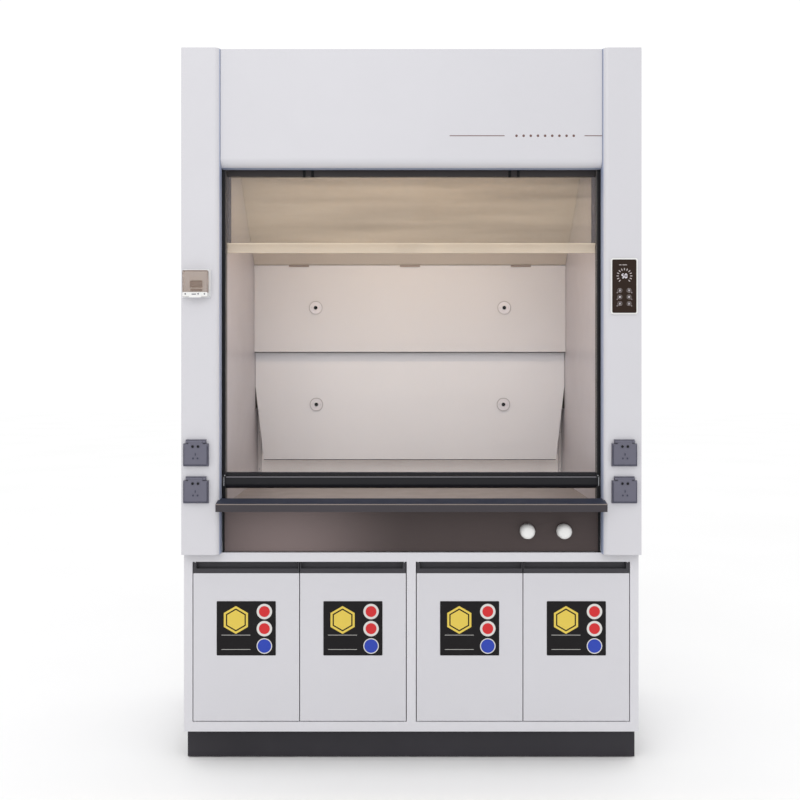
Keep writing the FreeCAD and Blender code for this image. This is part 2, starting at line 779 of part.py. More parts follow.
def make_sash():
    """The sliding glass, its handle, the handle's end caps and the arms to the belts."""
    half = "glass / 2"
    node(box("sliding_glass", ("-sash_half", f"sash_plane - {half}", "handle_high - 10"),
             ("sash_half", f"sash_plane + {half}", "sash_glass_top")), "sash_glass")
    body = new_body("handle")
    section = sketch_on(body, "handle_section", "YZ")
    draw_outline(section, [
        ("sash_plane + 7", "handle_low"), ("sash_plane + 7", "handle_high"),
        (f"sash_plane + {half}", "handle_high"), (f"sash_plane + {half}", "handle_high - 10"),
        (f"sash_plane - {half}", "handle_high - 10"), (f"sash_plane - {half}", "handle_high"),
        ("handle_front + 8", "handle_high"), ("handle_front + 8", "handle_grip"),
        ("handle_front", "handle_grip"), ("handle_front", "handle_low"),
    ])
    bar = pad(body, section, "2 * handle_half", symmetric=True)
    upper = round_edges(body, bar, lambda edge: at_handle_front(edge, "handle_grip"), "7")
    round_edges(body, upper, lambda edge: at_handle_front(edge, "handle_low"), "19")
    node(body, "sash_handle")
    cap = box("end_cap", ("handle_half", "handle_front - 3", "handle_low + 7"),
              ("handle_half + 4", "handle_front + 3", "handle_high - 6"))
    node(pair("end_caps", cap), "sash_end_caps")
    arm = box("arm", ("handle_half", "handle_front + 3", "handle_low + 12"),
              ("belt_x + 14", "handle_front + 8", "handle_high - 12"))
    clamp = box("clamp", ("belt_x - 10", "handle_front + 8", "handle_low + 12"),
                ("belt_x + 10", "-320.5", "handle_high - 12"))
    slot = belt_slot("clamp_slot", "drive_y - pulley_radius - belt_play - belt_thick",
                     "handle_low", "handle_high")
    node(pair("carriers", cut("carrier", joined("carrier_blank", [arm, clamp]), slot)),
         "sash_carriers")


def belt_slot(name, outer_face, low, high):
    """The space that a clamp leaves around the belt's straight run."""
    return box(name, ("belt_x - belt_width / 2 - 0.5", f"{outer_face} - 0.5", low),
               ("belt_x + belt_width / 2 + 0.5", f"{outer_face} + belt_thick + 0.5", high))


def belt_loop(name, radius, start, width):
    """A solid of the belt's loop out to a radius about its two pulleys."""
    core = box(f"{name}_core", (start, f"drive_y - ({radius})", "pulley_low"),
               (f"{start} + {width}", f"drive_y + {radius}", "pulley_high"))
    ends = [rod(f"{name}_{end}", (start, "drive_y", end), "x", radius, width)
            for end in ("pulley_low", "pulley_high")]
    return joined(name, [core] + ends)


def make_drive_belts():
    """The endless belts in the columns."""
    inner = "pulley_radius + belt_play"
    outer_loop = belt_loop("belt_outside", f"{inner} + belt_thick", "belt_x - belt_width / 2", "belt_width")
    inner_loop = belt_loop("belt_inside", inner, "belt_x - belt_width / 2 - 1", "belt_width + 2")
    node(pair("belts", cut("belt", outer_loop, inner_loop)), "drive_belts")


def make_pulleys(label, height, bore):
    """A flanged pulley in each column, at one height."""
    start = "belt_x - 8"
    spot = (start, "drive_y", height)
    hub = rod(f"{label}_hub", spot, "x", "pulley_radius", "16")
    near = rod(f"{label}_near", spot, "x", "pulley_radius + 4", "1.5")
    far = rod(f"{label}_far", (f"{start} + 14.5", "drive_y", height), "x", "pulley_radius + 4", "1.5")
    hole = rod(f"{label}_bore", (f"{start} - 1", "drive_y", height), "x", bore, "18")
    node(pair(f"{label}_pair", cut(f"{label}_wheel", joined(f"{label}_blank", [hub, near, far]), hole)),
         label)


def make_shafts():
    """The shaft that keeps both belts in step, its bearing blocks, and the lower axles."""
    node(rod("long_shaft", ("-700", "drive_y", "pulley_high"), "x", "shaft_radius", "1400"), "sync_shaft")
    block = box("bearing_block", ("650", "drive_y - 18", "pulley_high - 18"),
                ("666", "drive_y + 18", "body_top - sheet_metal"))
    hole = rod("bearing_hole", ("649", "drive_y", "pulley_high"), "x",
               "shaft_radius + bearing_play", "18")
    node(pair("bearing_pair", cut("bearing", block, hole)), "bearing_blocks")
    node(pair("axle_pair", rod("axle", ("642", "drive_y", "pulley_low"), "x", "axle_radius", "62")),
         "pulley_axles")
    make_pulleys("upper_pulleys", "pulley_high", "shaft_radius")
    make_pulleys("lower_pulleys", "pulley_low", "axle_radius + bearing_play")


def make_counterweights():
    """A steel bar on each belt's rear run, with the lug that grips the belt."""
    front = "drive_y + 47"
    bar = box("weight_bar", ("belt_x - weight_side / 2", front, "weight_low"),
              ("belt_x + weight_side / 2", f"{front} + weight_side", "weight_low + weight_length"))
    lug = box("weight_lug", ("belt_x - 9", "drive_y + 36", "weight_low + 250"),
              ("belt_x + 9", front, "weight_low + 310"))
    slot = belt_slot("lug_slot", "drive_y + pulley_radius + belt_play", "weight_low + 240",
                     "weight_low + 320")
    node(pair("weights", cut("weight", joined("weight_blank", [bar, lug]), slot)), "counterweights")


# ---- Fittings on the front ----


def make_breaker():
    """The breaker's box with its recess, the smoked lid and the lever."""
    half = "breaker_side / 2"
    block = box("breaker_block", (f"breaker_x - {half}", "-391", f"breaker_z - {half}"),
                (f"breaker_x + {half}", "-385", f"breaker_z + {half}"))
    rear = box("breaker_rear", (f"breaker_x - {half} + 8", "-385", f"breaker_z - {half} + 8"),
               (f"breaker_x + {half} - 8", "-348", f"breaker_z + {half} - 8"))
    recess = box("breaker_recess", ("breaker_x - 20", "-392", "breaker_z - 27"),
                 ("breaker_x + 20", "-374", "breaker_z + 23"))
    node(cut("breaker_shell", joined("breaker_blank", [block, rear]), recess), "breaker_box")

    shell = box("lid_shell", (f"breaker_x - {half} + 6", "-411", f"breaker_z - {half} + 16"),
                (f"breaker_x + {half} - 6", "-391.5", f"breaker_z + {half} - 6"))
    hollow = box("lid_hollow", (f"breaker_x - {half} + 8", "-409", f"breaker_z - {half} + 18"),
                 (f"breaker_x + {half} - 8", "-390", f"breaker_z + {half} - 8"))
    lip = box("lid_lip", (f"breaker_x - {half} + 8", "-408", f"breaker_z - {half} + 2"),
              (f"breaker_x + {half} - 8", "-404", f"breaker_z - {half} + 17"))
    node(joined("lid", [cut("lid_window", shell, hollow), lip]), "breaker_lid")

    hub = rod("lever_hub", ("breaker_x - 18", "-385", "breaker_z - 2"), "x", "6", "36")
    paddle = box("lever_paddle", ("breaker_x - 18", "-406", "breaker_z - 9"),
                 ("breaker_x + 18", "-385", "breaker_z + 4"))
    node(joined("lever", [hub, paddle]), "breaker_lever")


def make_control_panel():
    """The touch panel: a glass-fronted plate with the electronics box behind it."""
    body = new_body("touch_panel")
    front = sketch_on(body, "touch_front", "XZ", "-column_front")
    left, right = "panel_x - panel_width / 2", "panel_x + panel_width / 2"
    low, high = "panel_z - panel_height / 2", "panel_z + panel_height / 2"
    draw_outline(front, [(left, low), (right, low), (right, high), (left, high)])
    plate = pad(body, front, "7")
    rounded = round_edges(body, plate, lambda edge: runs_along(edge, "y"), "5")
    body.Tip = rounded
    rear = sketch_on(body, "touch_rear", "XZ", "-column_front")
    draw_outline(rear, [(f"{left} + 12", f"{low} + 20"), (f"{right} - 12", f"{low} + 20"),
                        (f"{right} - 12", f"{high} - 20"), (f"{left} + 12", f"{high} - 20")])
    housing = pad(body, rear, "24")
    housing.Reversed = True
    node(body, "control_panel")


LID_AXIS = "column_front - 12.5"
OUTLETS = [
    ("left_high", "outlet_left", "outlet_high"),
    ("left_low", "outlet_left", "outlet_low"),
    ("right_high", "outlet_right", "outlet_high"),
    ("right_low", "outlet_right", "outlet_low"),
]


def make_outlets():
    """Four outlet plates with round and flat contact holes, back boxes and hinge knuckles."""
    plates = []
    for name, x, z in OUTLETS:
        body = new_body(f"outlet_{name}")
        face = sketch_on(body, f"face_{name}", "XZ", "-column_front")
        top = f"{z} + outlet_height / 2"
        left, right = f"{x} - outlet_width / 2", f"{x} + outlet_width / 2"
        low = f"{z} - outlet_height / 2"
        draw_outline(face, [(left, low), (right, low), (right, f"{top} - 13"),
                            (f"{x} + 33", f"{top} - 13"), (f"{x} + 33", top), (f"{x} - 33", top),
                            (f"{x} - 33", f"{top} - 13"), (left, f"{top} - 13")])
        pad(body, face, "8")
        rear = sketch_on(body, f"rear_{name}", "XZ", "-column_front")
        draw_outline(rear, [(f"{x} - 30", f"{z} - 32"), (f"{x} + 30", f"{z} - 32"),
                            (f"{x} + 30", f"{z} + 28"), (f"{x} - 30", f"{z} + 28")])
        back_box = pad(body, rear, "38")
        back_box.Reversed = True
        holes = sketch_on(body, f"contacts_{name}", "XZ", "-column_front + 8")
        for shift in ("- 8", "+ 8"):
            draw_circle(holes, f"{x} {shift}", f"{z} + 12", "2.5")
        for shift_x, shift_z in (("- 9", "- 16"), ("+ 9", "- 16"), ("+ 0", "- 6")):
            contact = f"{x} {shift_x}"
            height = f"{z} {shift_z}"
            near, far = f"{contact} - 1.2", f"{contact} + 1.2"
            low, high = f"{height} - 4", f"{height} + 4"
            draw_outline(holes, [(near, low), (far, low), (far, high), (near, high)])
        pocket(body, holes, "20")
        pieces = [body, rod(f"pin_{name}", (f"{x} - 32", LID_AXIS, f"{top} - 7"), "x", "1.5", "64")]
        for end, start in (("near", f"{x} - 32"), ("far", f"{x} + 24")):
            pieces.append(rod(f"knuckle_{name}_{end}", (start, LID_AXIS, f"{top} - 7"), "x", "4", "8"))
            pieces.append(box(f"lug_{name}_{end}", (start, LID_AXIS, f"{top} - 10"),
                              (f"{start} + 8", "column_front - 8", f"{top} - 4")))
        plates.append(joined(f"plate_{name}", pieces))
    node(group("plates", plates), "socket_plates")


def make_outlet_lid(name, x, z):
    """A flip lid with its knuckle on the plate's pin."""
    top = f"{z} + outlet_height / 2"
    low = f"{z} - outlet_height / 2 + 4"
    leaf = box(f"leaf_{name}", (f"{x} - 39", "column_front - 15", low),
               (f"{x} + 39", "column_front - 11.5", f"{top} - 14"))
    web = box(f"web_{name}", (f"{x} - 23.5", "column_front - 15", f"{top} - 15"),
              (f"{x} + 23.5", "column_front - 12", f"{top} - 7"))
    knuckle = rod(f"lid_knuckle_{name}", (f"{x} - 23.5", LID_AXIS, f"{top} - 7"), "x", "4", "47")
    bore = rod(f"lid_bore_{name}", (f"{x} - 25", LID_AXIS, f"{top} - 7"), "x", "1.55", "50")
    node(cut(f"lid_{name}", joined(f"lid_blank_{name}", [leaf, web, knuckle]), bore),
         f"socket_lid_{name}")


def make_valves():
    """Two valves behind the service panel, with their stems and domed knobs."""
    valves = []
    for number, x in enumerate(("knob_one", "knob_two"), start=1):
        barrel = rod(f"valve_barrel_{number}", (x, "service_front + 3", "knob_z"), "y", "14", "34")
        stem = rod(f"valve_stem_{number}", (x, "service_front + 3", "knob_z"), "-y", "stem_radius", "22")
        pipe = rod(f"valve_pipe_{number}", (x, "service_front + 22", "cabinet_top"), "z", "7",
                   "knob_z - cabinet_top")
        valves.append(joined(f"valve_{number}", [barrel, stem, pipe]))
        make_knob(number, x)
    node(group("valves", valves), "valve_bodies")


def make_knob(number, x):
    """A round knob with a domed front and a blind bore for the stem."""
    body = new_body(f"knob_{number}")
    body.Placement = FreeCAD.Placement(FreeCAD.Vector(), AXES["-y"])
    place(body, (x, "service_front - 3", "knob_z"))
    section = sketch_on(body, f"knob_section_{number}", "XZ")
    draw_outline(section, [("0", "17"), ("0", "34"), ("9", "33.4"), ("16", "31"), ("21", "26.5"),
                           ("knob_radius - 1", "20"), ("knob_radius", "14"), ("knob_radius", "0"),
                           ("stem_radius + stem_play", "0"), ("stem_radius + stem_play", "17")])
    spun(body, section)
    node(body, f"valve_knob_{number}")


# ---- The whole hood ----

LEFT_WINDOWS = [("breaker_x", "breaker_z", "79", "79")]
LEFT_WINDOWS += [("outlet_left", f"({height} - 2)", "62", "62") for height in ("outlet_high", "outlet_low")]
RIGHT_WINDOWS = [("panel_x", "panel_z", "(panel_width - 22)", "(panel_height - 38)")]
RIGHT_WINDOWS += [("outlet_right", f"({height} - 2)", "62", "62") for height in ("outlet_high", "outlet_low")]

make_plinth()
make_leveling_feet()
make_cabinet_carcass()
make_cabinet_front_frame()
make_cabinet_shelves()
make_door_pivot_pins()
for door_number, (door_edge, door_pivot) in enumerate(DOORS, start=1):
    make_door(door_number, door_edge, door_pivot)
    make_door_pull(door_number, door_edge, door_pivot)
make_support_frame()
make_worktop()
make_airfoil_sill()
make_service_panel()
make_column_cover("-1", "column_cover_left", LEFT_WINDOWS)
make_column_cover("1", "column_cover_right", RIGHT_WINDOWS)
make_side_panels()
make_header_panel()
make_top_panel()
make_exhaust_collar()
make_back_panel()
make_liners()
make_chamber_ceiling()
make_baffle_top()
make_flat_baffle("baffle_middle", "middle_face",
                 [("1 - liner_inner", "middle_low"), ("liner_inner - 1", "middle_low"),
                  ("liner_inner - 1", "middle_high"), ("1 - liner_inner", "middle_high")],
                 "socket_high")
make_flat_baffle("baffle_lower", "lower_face",
                 [("-lower_half", "lower_low"), ("lower_half", "lower_low"),
                  ("liner_inner - 1", "lower_knee"), ("liner_inner - 1", "lower_high"),
                  ("1 - liner_inner", "lower_high"), ("1 - liner_inner", "lower_knee")],
                 "socket_low")
make_rod_sockets()
make_baffle_hangers()
make_lamp()
make_upper_glass()
make_sash_tracks()
make_sash()
make_drive_belts()
make_shafts()
make_counterweights()
make_breaker()
make_control_panel()
make_outlets()
for lid_name, lid_x, lid_z in OUTLETS:
    make_outlet_lid(lid_name, lid_x, lid_z)
make_valves()

doc.recompute()
for item in doc.Objects:
    if "Invalid" in item.State or "Error" in item.State:
        raise RuntimeError(f"{item.Name} could not be built: {item.State}")
for item in nodes:
    if item.Shape.isNull() or not item.Shape.isValid():
        raise RuntimeError(f"{item.Label} has no valid shape")

os.makedirs("parts", exist_ok=True)
for item in nodes:
    item.Shape.exportStep(f"parts/{item.Label}.step")
print(f"{len(nodes)} nodes written")
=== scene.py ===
import bpy
import bmesh
import json
import math
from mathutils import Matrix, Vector


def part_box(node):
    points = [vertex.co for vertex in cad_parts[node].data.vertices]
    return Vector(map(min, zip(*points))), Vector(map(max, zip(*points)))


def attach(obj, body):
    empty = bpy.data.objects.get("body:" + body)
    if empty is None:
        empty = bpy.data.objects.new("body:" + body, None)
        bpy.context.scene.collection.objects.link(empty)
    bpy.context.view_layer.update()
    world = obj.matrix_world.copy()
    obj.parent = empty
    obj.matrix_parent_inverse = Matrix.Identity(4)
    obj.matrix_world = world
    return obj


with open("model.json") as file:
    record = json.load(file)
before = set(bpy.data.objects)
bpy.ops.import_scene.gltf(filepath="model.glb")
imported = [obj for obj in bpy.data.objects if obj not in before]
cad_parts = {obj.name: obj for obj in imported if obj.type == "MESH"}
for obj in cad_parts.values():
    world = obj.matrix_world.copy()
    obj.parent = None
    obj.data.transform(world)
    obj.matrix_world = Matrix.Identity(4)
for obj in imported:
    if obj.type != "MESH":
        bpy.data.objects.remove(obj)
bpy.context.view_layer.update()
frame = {"nodes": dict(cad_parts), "record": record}
scene = bpy.context.scene
NODES = frame["nodes"]
MM = 0.001
FORWARD = (0, -1, 0)
BACKWARD = (0, 1, 0)
UPWARD = (0, 0, 1)

# ---- Materials ----


def shade(name, colour, roughness, metallic=0.0, coat=0.0):
    """A material with one Principled shader. Returns the material and that shader."""
    material = bpy.data.materials.new(name)
    material.use_nodes = True
    shader = material.node_tree.nodes["Principled BSDF"]
    shader.inputs["Base Color"].default_value = (*colour, 1)
    shader.inputs["Roughness"].default_value = roughness
    shader.inputs["Metallic"].default_value = metallic
    shader.inputs["Coat Weight"].default_value = coat
    return material, shader


def add_node(material, kind, **values):
    """A new node whose inputs or properties are set by name."""
    node = material.node_tree.nodes.new(kind)
    for name, value in values.items():
        label = name.replace("_", " ").title()
        if label in node.inputs:
            node.inputs[label].default_value = value
        else:
            setattr(node, name, value)
    return node


def link(material, source, output, target, socket):
    """Joins two nodes by socket names."""
    material.node_tree.links.new(source.outputs[output], target.inputs[socket])


def noise(material, scale, detail=3.0, stretch=(1, 1, 1)):
    """A noise texture in the model's own metres, drawn out along an axis if asked."""
    place = add_node(material, "ShaderNodeTexCoord")
    mapping = add_node(material, "ShaderNodeMapping")
    mapping.inputs["Scale"].default_value = stretch
    texture = add_node(material, "ShaderNodeTexNoise", scale=scale, detail=detail)
    link(material, place, "Object", mapping, "Vector")
    link(material, mapping, "Vector", texture, "Vector")
    return texture


def remap(material, source, output, low, high):
    """The middle of a texture's range spread between two values."""
    ramp = add_node(material, "ShaderNodeMapRange")
    ramp.inputs["From Min"].default_value = 0.3
    ramp.inputs["From Max"].default_value = 0.7
    ramp.inputs["To Min"].default_value = low
    ramp.inputs["To Max"].default_value = high
    link(material, source, output, ramp, "Value")
    return ramp


def tint(material, shader, colour, amount, texture):
    """Lets the colour drift darker and lighter by a small amount."""
    mix = add_node(material, "ShaderNodeMix", data_type="RGBA")
    mix.inputs["A"].default_value = (*[channel * (1 - amount) for channel in colour], 1)
    mix.inputs["B"].default_value = (*[min(1.0, channel * (1 + amount)) for channel in colour], 1)
    level = remap(material, texture, "Fac", 0.0, 1.0)
    link(material, level, "Result", mix, "Factor")
    link(material, mix, "Result", shader, "Base Color")


def wear_gloss(material, shader, texture, low, high):
    """Roughness that drifts between two values."""
    level = remap(material, texture, "Fac", low, high)
    link(material, level, "Result", shader, "Roughness")


def bump(material, shader, texture, strength, depth):
    """Fine relief from a texture, depth in metres."""
    relief = add_node(material, "ShaderNodeBump", strength=strength, distance=depth)
    link(material, texture, "Fac", relief, "Height")
    link(material, relief, "Normal", shader, "Normal")


DARK_COLOUR = 0.15
DARK_SPECULAR = 0.2


def finish_like(name, colour, rough, grain, relief, drift=0.03, metallic=0.0, coat=0.0,
                stretch=(1, 1, 1)):
    """The usual recipe: slow colour drift, uneven gloss and a fine grain of its own size.

    grain is the number of grains in a metre, and relief their height in metres. Dark finishes
    are less glossy, so that they don't mirror the white room.
    """
    material, shader = shade(name, colour, rough, metallic, coat)
    if max(colour) < DARK_COLOUR:
        shader.inputs["Specular IOR Level"].default_value = DARK_SPECULAR
    slow = noise(material, 2.2, 4.0)
    fine = noise(material, grain, 2.0, stretch)
    tint(material, shader, colour, drift, slow)
    wear_gloss(material, shader, noise(material, 14.0, 5.0), rough * 0.88, rough * 1.14)
    bump(material, shader, fine, 0.35, relief)
    return material


def recolour(material, mask, output, colour):
    """Turns the base colour to another one where a mask is 1."""
    shader = material.node_tree.nodes["Principled BSDF"]
    base = shader.inputs["Base Color"].links[0].from_socket
    mix = add_node(material, "ShaderNodeMix", data_type="RGBA")
    mix.inputs["B"].default_value = (*colour, 1)
    material.node_tree.links.new(base, mix.inputs["A"])
    link(material, mask, output, mix, "Factor")
    link(material, mix, "Result", shader, "Base Color")
    return material


def paint_light_and_shade_on_sides(material, inner, reveal):
    """Painted light and shade: another colour on the edges of the sash opening, on faces turned
    sideways, near the middle.

    inner is the half width, in metres, inside which a face counts.
    """
    geometry = add_node(material, "ShaderNodeNewGeometry")
    place = add_node(material, "ShaderNodeTexCoord")
    split_normal = add_node(material, "ShaderNodeSeparateXYZ")
    split_place = add_node(material, "ShaderNodeSeparateXYZ")
    link(material, geometry, "Normal", split_normal, "Vector")
    link(material, place, "Object", split_place, "Vector")
    across = add_node(material, "ShaderNodeMath", operation="ABSOLUTE")
    inside = add_node(material, "ShaderNodeMath", operation="LESS_THAN")
    inside.inputs[1].default_value = inner
    link(material, split_place, "X", across, 0)
    link(material, across, "Value", inside, 0)
    sideways = add_node(material, "ShaderNodeMath", operation="ABSOLUTE")
    link(material, split_normal, "X", sideways, 0)
    sharp = add_node(material, "ShaderNodeMapRange")
    sharp.inputs["From Min"].default_value = 0.5
    sharp.inputs["From Max"].default_value = 0.95
    link(material, sideways, "Value", sharp, "Value")
    both = add_node(material, "ShaderNodeMath", operation="MULTIPLY")
    link(material, sharp, "Result", both, 0)
    link(material, inside, "Value", both, 1)
    return recolour(material, both, "Value", reveal)


def paint_light_by_facing(material, direction, start, colour):
    """Painted light and shade: another colour on the faces that look one way. start is where it sets
    in, from 0 to 1.
    """
    geometry = add_node(material, "ShaderNodeNewGeometry")
    facing = add_node(material, "ShaderNodeVectorMath", operation="DOT_PRODUCT")
    facing.inputs[1].default_value = direction
    link(material, geometry, "Normal", facing, 0)
    mask = add_node(material, "ShaderNodeMapRange")
    mask.inputs["From Min"].default_value = start
    mask.inputs["From Max"].default_value = (start + 1) / 2
    link(material, facing, "Value", mask, "Value")
    return recolour(material, mask, "Result", colour)


def paint_reflection_band(material, centre, reach, colour):
    """A painted reflection: a brighter zone across the width, fading out on both sides of its centre.
    """
    place = add_node(material, "ShaderNodeTexCoord")
    split = add_node(material, "ShaderNodeSeparateXYZ")
    link(material, place, "Object", split, "Vector")
    offset = add_node(material, "ShaderNodeMath", operation="SUBTRACT")
    offset.inputs[1].default_value = centre
    link(material, split, "X", offset, 0)
    apart = add_node(material, "ShaderNodeMath", operation="ABSOLUTE")
    link(material, offset, "Value", apart, 0)
    mask = add_node(material, "ShaderNodeMapRange", interpolation_type="SMOOTHSTEP")
    mask.inputs["From Min"].default_value = 0.0
    mask.inputs["From Max"].default_value = reach
    mask.inputs["To Min"].default_value = 1.0
    mask.inputs["To Max"].default_value = 0.0
    link(material, apart, "Value", mask, "Value")
    return recolour(material, mask, "Result", colour)


def clear_glass(name, colour, alpha, roughness=0.03, drift=0.05, stretch=(1, 1, 1)):
    """A pane that shows what is behind it, with a haze that drifts by a share of its colour; a large
    drift stretched into streaks is a painted reflection.
    """
    material, shader = shade(name, colour, roughness)
    shader.inputs["Alpha"].default_value = alpha
    shader.inputs["IOR"].default_value = 1.5
    haze_and_reflection = noise(material, 6.0, 5.0, stretch)
    wear_gloss(material, shader, haze_and_reflection, roughness, roughness * 2.5)
    tint(material, shader, colour, drift, haze_and_reflection)
    return material


def make_shine(material, colour, strength):
    """Gives a material light of its own."""
    shader = material.node_tree.nodes["Principled BSDF"]
    shader.inputs["Emission Color"].default_value = (*colour, 1)
    shader.inputs["Emission Strength"].default_value = strength


def opal_lamp(name, colour, strength):
    """An opal diffuser that shines warm."""
    material, shader = shade(name, colour, 0.4)
    make_shine(material, colour, strength)
    bump(material, shader, noise(material, 300.0, 2.0), 0.2, 0.0002)
    return material


WHITE = (0.61, 0.605, 0.64)
# The blue-grey of painted shade on the column covers' faces turned towards the opening.
REVEAL_SHADE = (0.36, 0.41, 0.56)
WALL = (0.555, 0.52, 0.55)
BAFFLE = (0.775, 0.75, 0.765)
# The lower baffle's colour is a lighter copy of the baffle's: painted light.
LIT_LOWER_BAFFLE = (0.89, 0.875, 0.90)

white_coat = finish_like("white_powder_coat", WHITE, 0.36, 1400, 0.00006, 0.012, coat=0.15)
# The column covers' faces turned towards the opening get a blue-grey painted shade.
column_coat = paint_light_and_shade_on_sides(
    finish_like("column_powder_coat", WHITE, 0.36, 1400, 0.00006, 0.012, coat=0.15), 0.6275, REVEAL_SHADE)
# The header's downward faces get a blue-grey painted shade.
header_coat = paint_light_by_facing(
    finish_like("header_powder_coat", WHITE, 0.36, 1400, 0.00006, 0.012, coat=0.15),
    (0, 0, -1), 0.92, (0.28, 0.33, 0.46))
white_laminate = finish_like("white_laminate", (0.65, 0.645, 0.68), 0.42, 900, 0.00004, 0.012)
plinth_laminate = finish_like("charcoal_laminate", (0.036, 0.034, 0.040), 0.55, 700, 0.00008, 0.12)
# The liners' faces turned to the front get a lighter colour: painted light.
liner_board = paint_light_by_facing(
    finish_like("cream_phenolic_board", WALL, 0.34, 500, 0.000004, 0.03, coat=0.05),
    FORWARD, 0.9, (0.99, 0.93, 0.91))
baffle_board = finish_like("pale_baffle_board", BAFFLE, 0.4, 500, 0.000006, 0.02)
# The lower baffle gets the lighter copy of the baffle board: painted light.
lit_lower_baffle_board = finish_like("pale_lower_baffle_board", LIT_LOWER_BAFFLE, 0.4, 500, 0.000006, 0.02)
top_baffle_board = finish_like("warm_baffle_board", (0.66, 0.57, 0.48), 0.4, 500, 0.000006, 0.03)
worktop_slab = finish_like("grey_worktop_slab", (0.315, 0.28, 0.27), 0.45, 420, 0.00001, 0.08)
# The sill's upward faces get a dark navy painted reflection.
sill_coat = paint_light_by_facing(
    finish_like("black_sill_coat_painted_reflection", (0.052, 0.046, 0.052), 0.45, 1600, 0.00003, 0.08),
    UPWARD, 0.8, (0.034, 0.040, 0.064))
handle_coat = finish_like("black_handle_coat", (0.013, 0.013, 0.016), 0.34, 1600, 0.00003, 0.08)
# The service panel gets a painted reflection, brighter towards its left end.
brown_coat = paint_reflection_band(
    finish_like("brown_metallic_coat", (0.068, 0.052, 0.051), 0.38, 1800, 0.00003, 0.06, 0.2),
    -0.42, 0.42, (0.19, 0.148, 0.145))
pull_plastic = finish_like("charcoal_pull", (0.052, 0.050, 0.057), 0.5, 1200, 0.00005, 0.08)
# The tracks' faces turned sideways near the opening get a lighter painted highlight.
black_plastic = paint_light_and_shade_on_sides(
    finish_like("black_track_plastic", (0.012, 0.012, 0.014), 0.42, 1500, 0.00006, 0.15),
    0.6155, (0.24, 0.225, 0.225))
outlet_plastic = finish_like("blue_grey_plastic", (0.118, 0.116, 0.158), 0.42, 2600, 0.00005, 0.05)
gloss_white = finish_like("gloss_white_plastic", (0.80, 0.80, 0.79), 0.22, 900, 0.00002, 0.015,
                          coat=0.4)
breaker_white = finish_like("breaker_white_plastic", (0.74, 0.75, 0.77), 0.3, 900, 0.00003, 0.02)
touch_glass = finish_like("brown_touch_glass", (0.022, 0.010, 0.005), 0.3, 300, 0.000004, 0.1)
zinc = finish_like("zinc_plated_steel", (0.60, 0.61, 0.63), 0.32, 260, 0.00005, 0.05, 1.0,
                   stretch=(1, 1, 12))
aluminium = finish_like("mill_aluminium", (0.66, 0.67, 0.69), 0.38, 300, 0.00004, 0.04, 1.0,
                        stretch=(12, 12, 1))
# The near-black of the pane rail is partly its own dark colour and partly painted shade from the
# header above.
dark_rail = finish_like("dark_pane_rail", (0.040, 0.035, 0.036), 0.5, 900, 0.00003, 0.06)
hanger_steel = finish_like("brown_hanger_tab", (0.34, 0.275, 0.245), 0.45, 900, 0.00003, 0.05)
rubber = finish_like("belt_rubber", (0.02, 0.02, 0.02), 0.7, 500, 0.0002, 0.15)
nylon = finish_like("natural_nylon", (0.62, 0.60, 0.54), 0.45, 700, 0.00006, 0.04)
brass = finish_like("machined_brass", (0.70, 0.53, 0.26), 0.28, 800, 0.00004, 0.05, 1.0)
ballast = finish_like("painted_ballast", (0.12, 0.12, 0.13), 0.5, 350, 0.0002, 0.1)
lamp_enamel = finish_like("lamp_enamel", (0.62, 0.60, 0.57), 0.35, 900, 0.00004, 0.02)
socket_plastic = finish_like("cream_socket_plastic", (0.85, 0.82, 0.855), 0.3, 900, 0.00003, 0.02)
# The fixed pane's large drift, stretched into streaks, is a painted reflection of the room.
pane_glass = clear_glass("pane_glass", (0.40, 0.33, 0.245), 0.29, 0.03, 0.45, (0.25, 1, 4))
sash_glass = clear_glass("sash_glass", (0.40, 0.40, 0.42), 0.02)
smoked = clear_glass("smoked_lid_plastic", (0.46, 0.34, 0.27), 0.32, 0.12)
diffuser = opal_lamp("opal_diffuser", (1.0, 0.80, 0.56), 15.0)

CAD_FINISHES = {
    "plinth": plinth_laminate, "leveling_feet": zinc, "cabinet_carcass": white_laminate,
    "cabinet_front_frame": white_laminate, "cabinet_shelves": white_laminate,
    "door_pivot_pins": zinc, "support_frame": aluminium, "worktop": worktop_slab,
    "airfoil_sill": sill_coat, "service_panel": brown_coat, "column_cover_left": column_coat,
    "column_cover_right": column_coat, "side_panels": white_coat, "header_panel": header_coat,
    "top_panel": white_coat, "exhaust_collar": gloss_white, "back_panel": white_coat,
    "liners": liner_board, "chamber_ceiling": liner_board, "baffle_top": top_baffle_board,
    "baffle_middle": baffle_board, "baffle_lower": lit_lower_baffle_board, "rod_sockets": socket_plastic,
    "baffle_hangers": hanger_steel, "lamp_housing": lamp_enamel, "lamp_diffuser": diffuser,
    "upper_glass": pane_glass, "upper_glass_rail": dark_rail, "sash_tracks": black_plastic,
    "drive_belts": rubber, "bearing_blocks": nylon, "pulley_axles": zinc,
    "breaker_box": breaker_white, "control_panel": touch_glass, "socket_plates": outlet_plastic,
    "valve_bodies": brass, "sash_glass": sash_glass, "sash_handle": handle_coat,
    "sash_end_caps": handle_coat, "sash_carriers": dark_rail, "sync_shaft": zinc,
    "upper_pulleys": nylon, "lower_pulleys": nylon, "counterweights": ballast,
    "breaker_lid": smoked, "breaker_lever": pull_plastic,
    "valve_knob_1": gloss_white, "valve_knob_2": gloss_white,
}
for number in range(1, 5):
    CAD_FINISHES[f"door_{number}"] = white_coat
    CAD_FINISHES[f"door_pull_{number}"] = pull_plastic
for side in ("left", "right"):
    for level in ("high", "low"):
        CAD_FINISHES[f"socket_lid_{side}_{level}"] = outlet_plastic

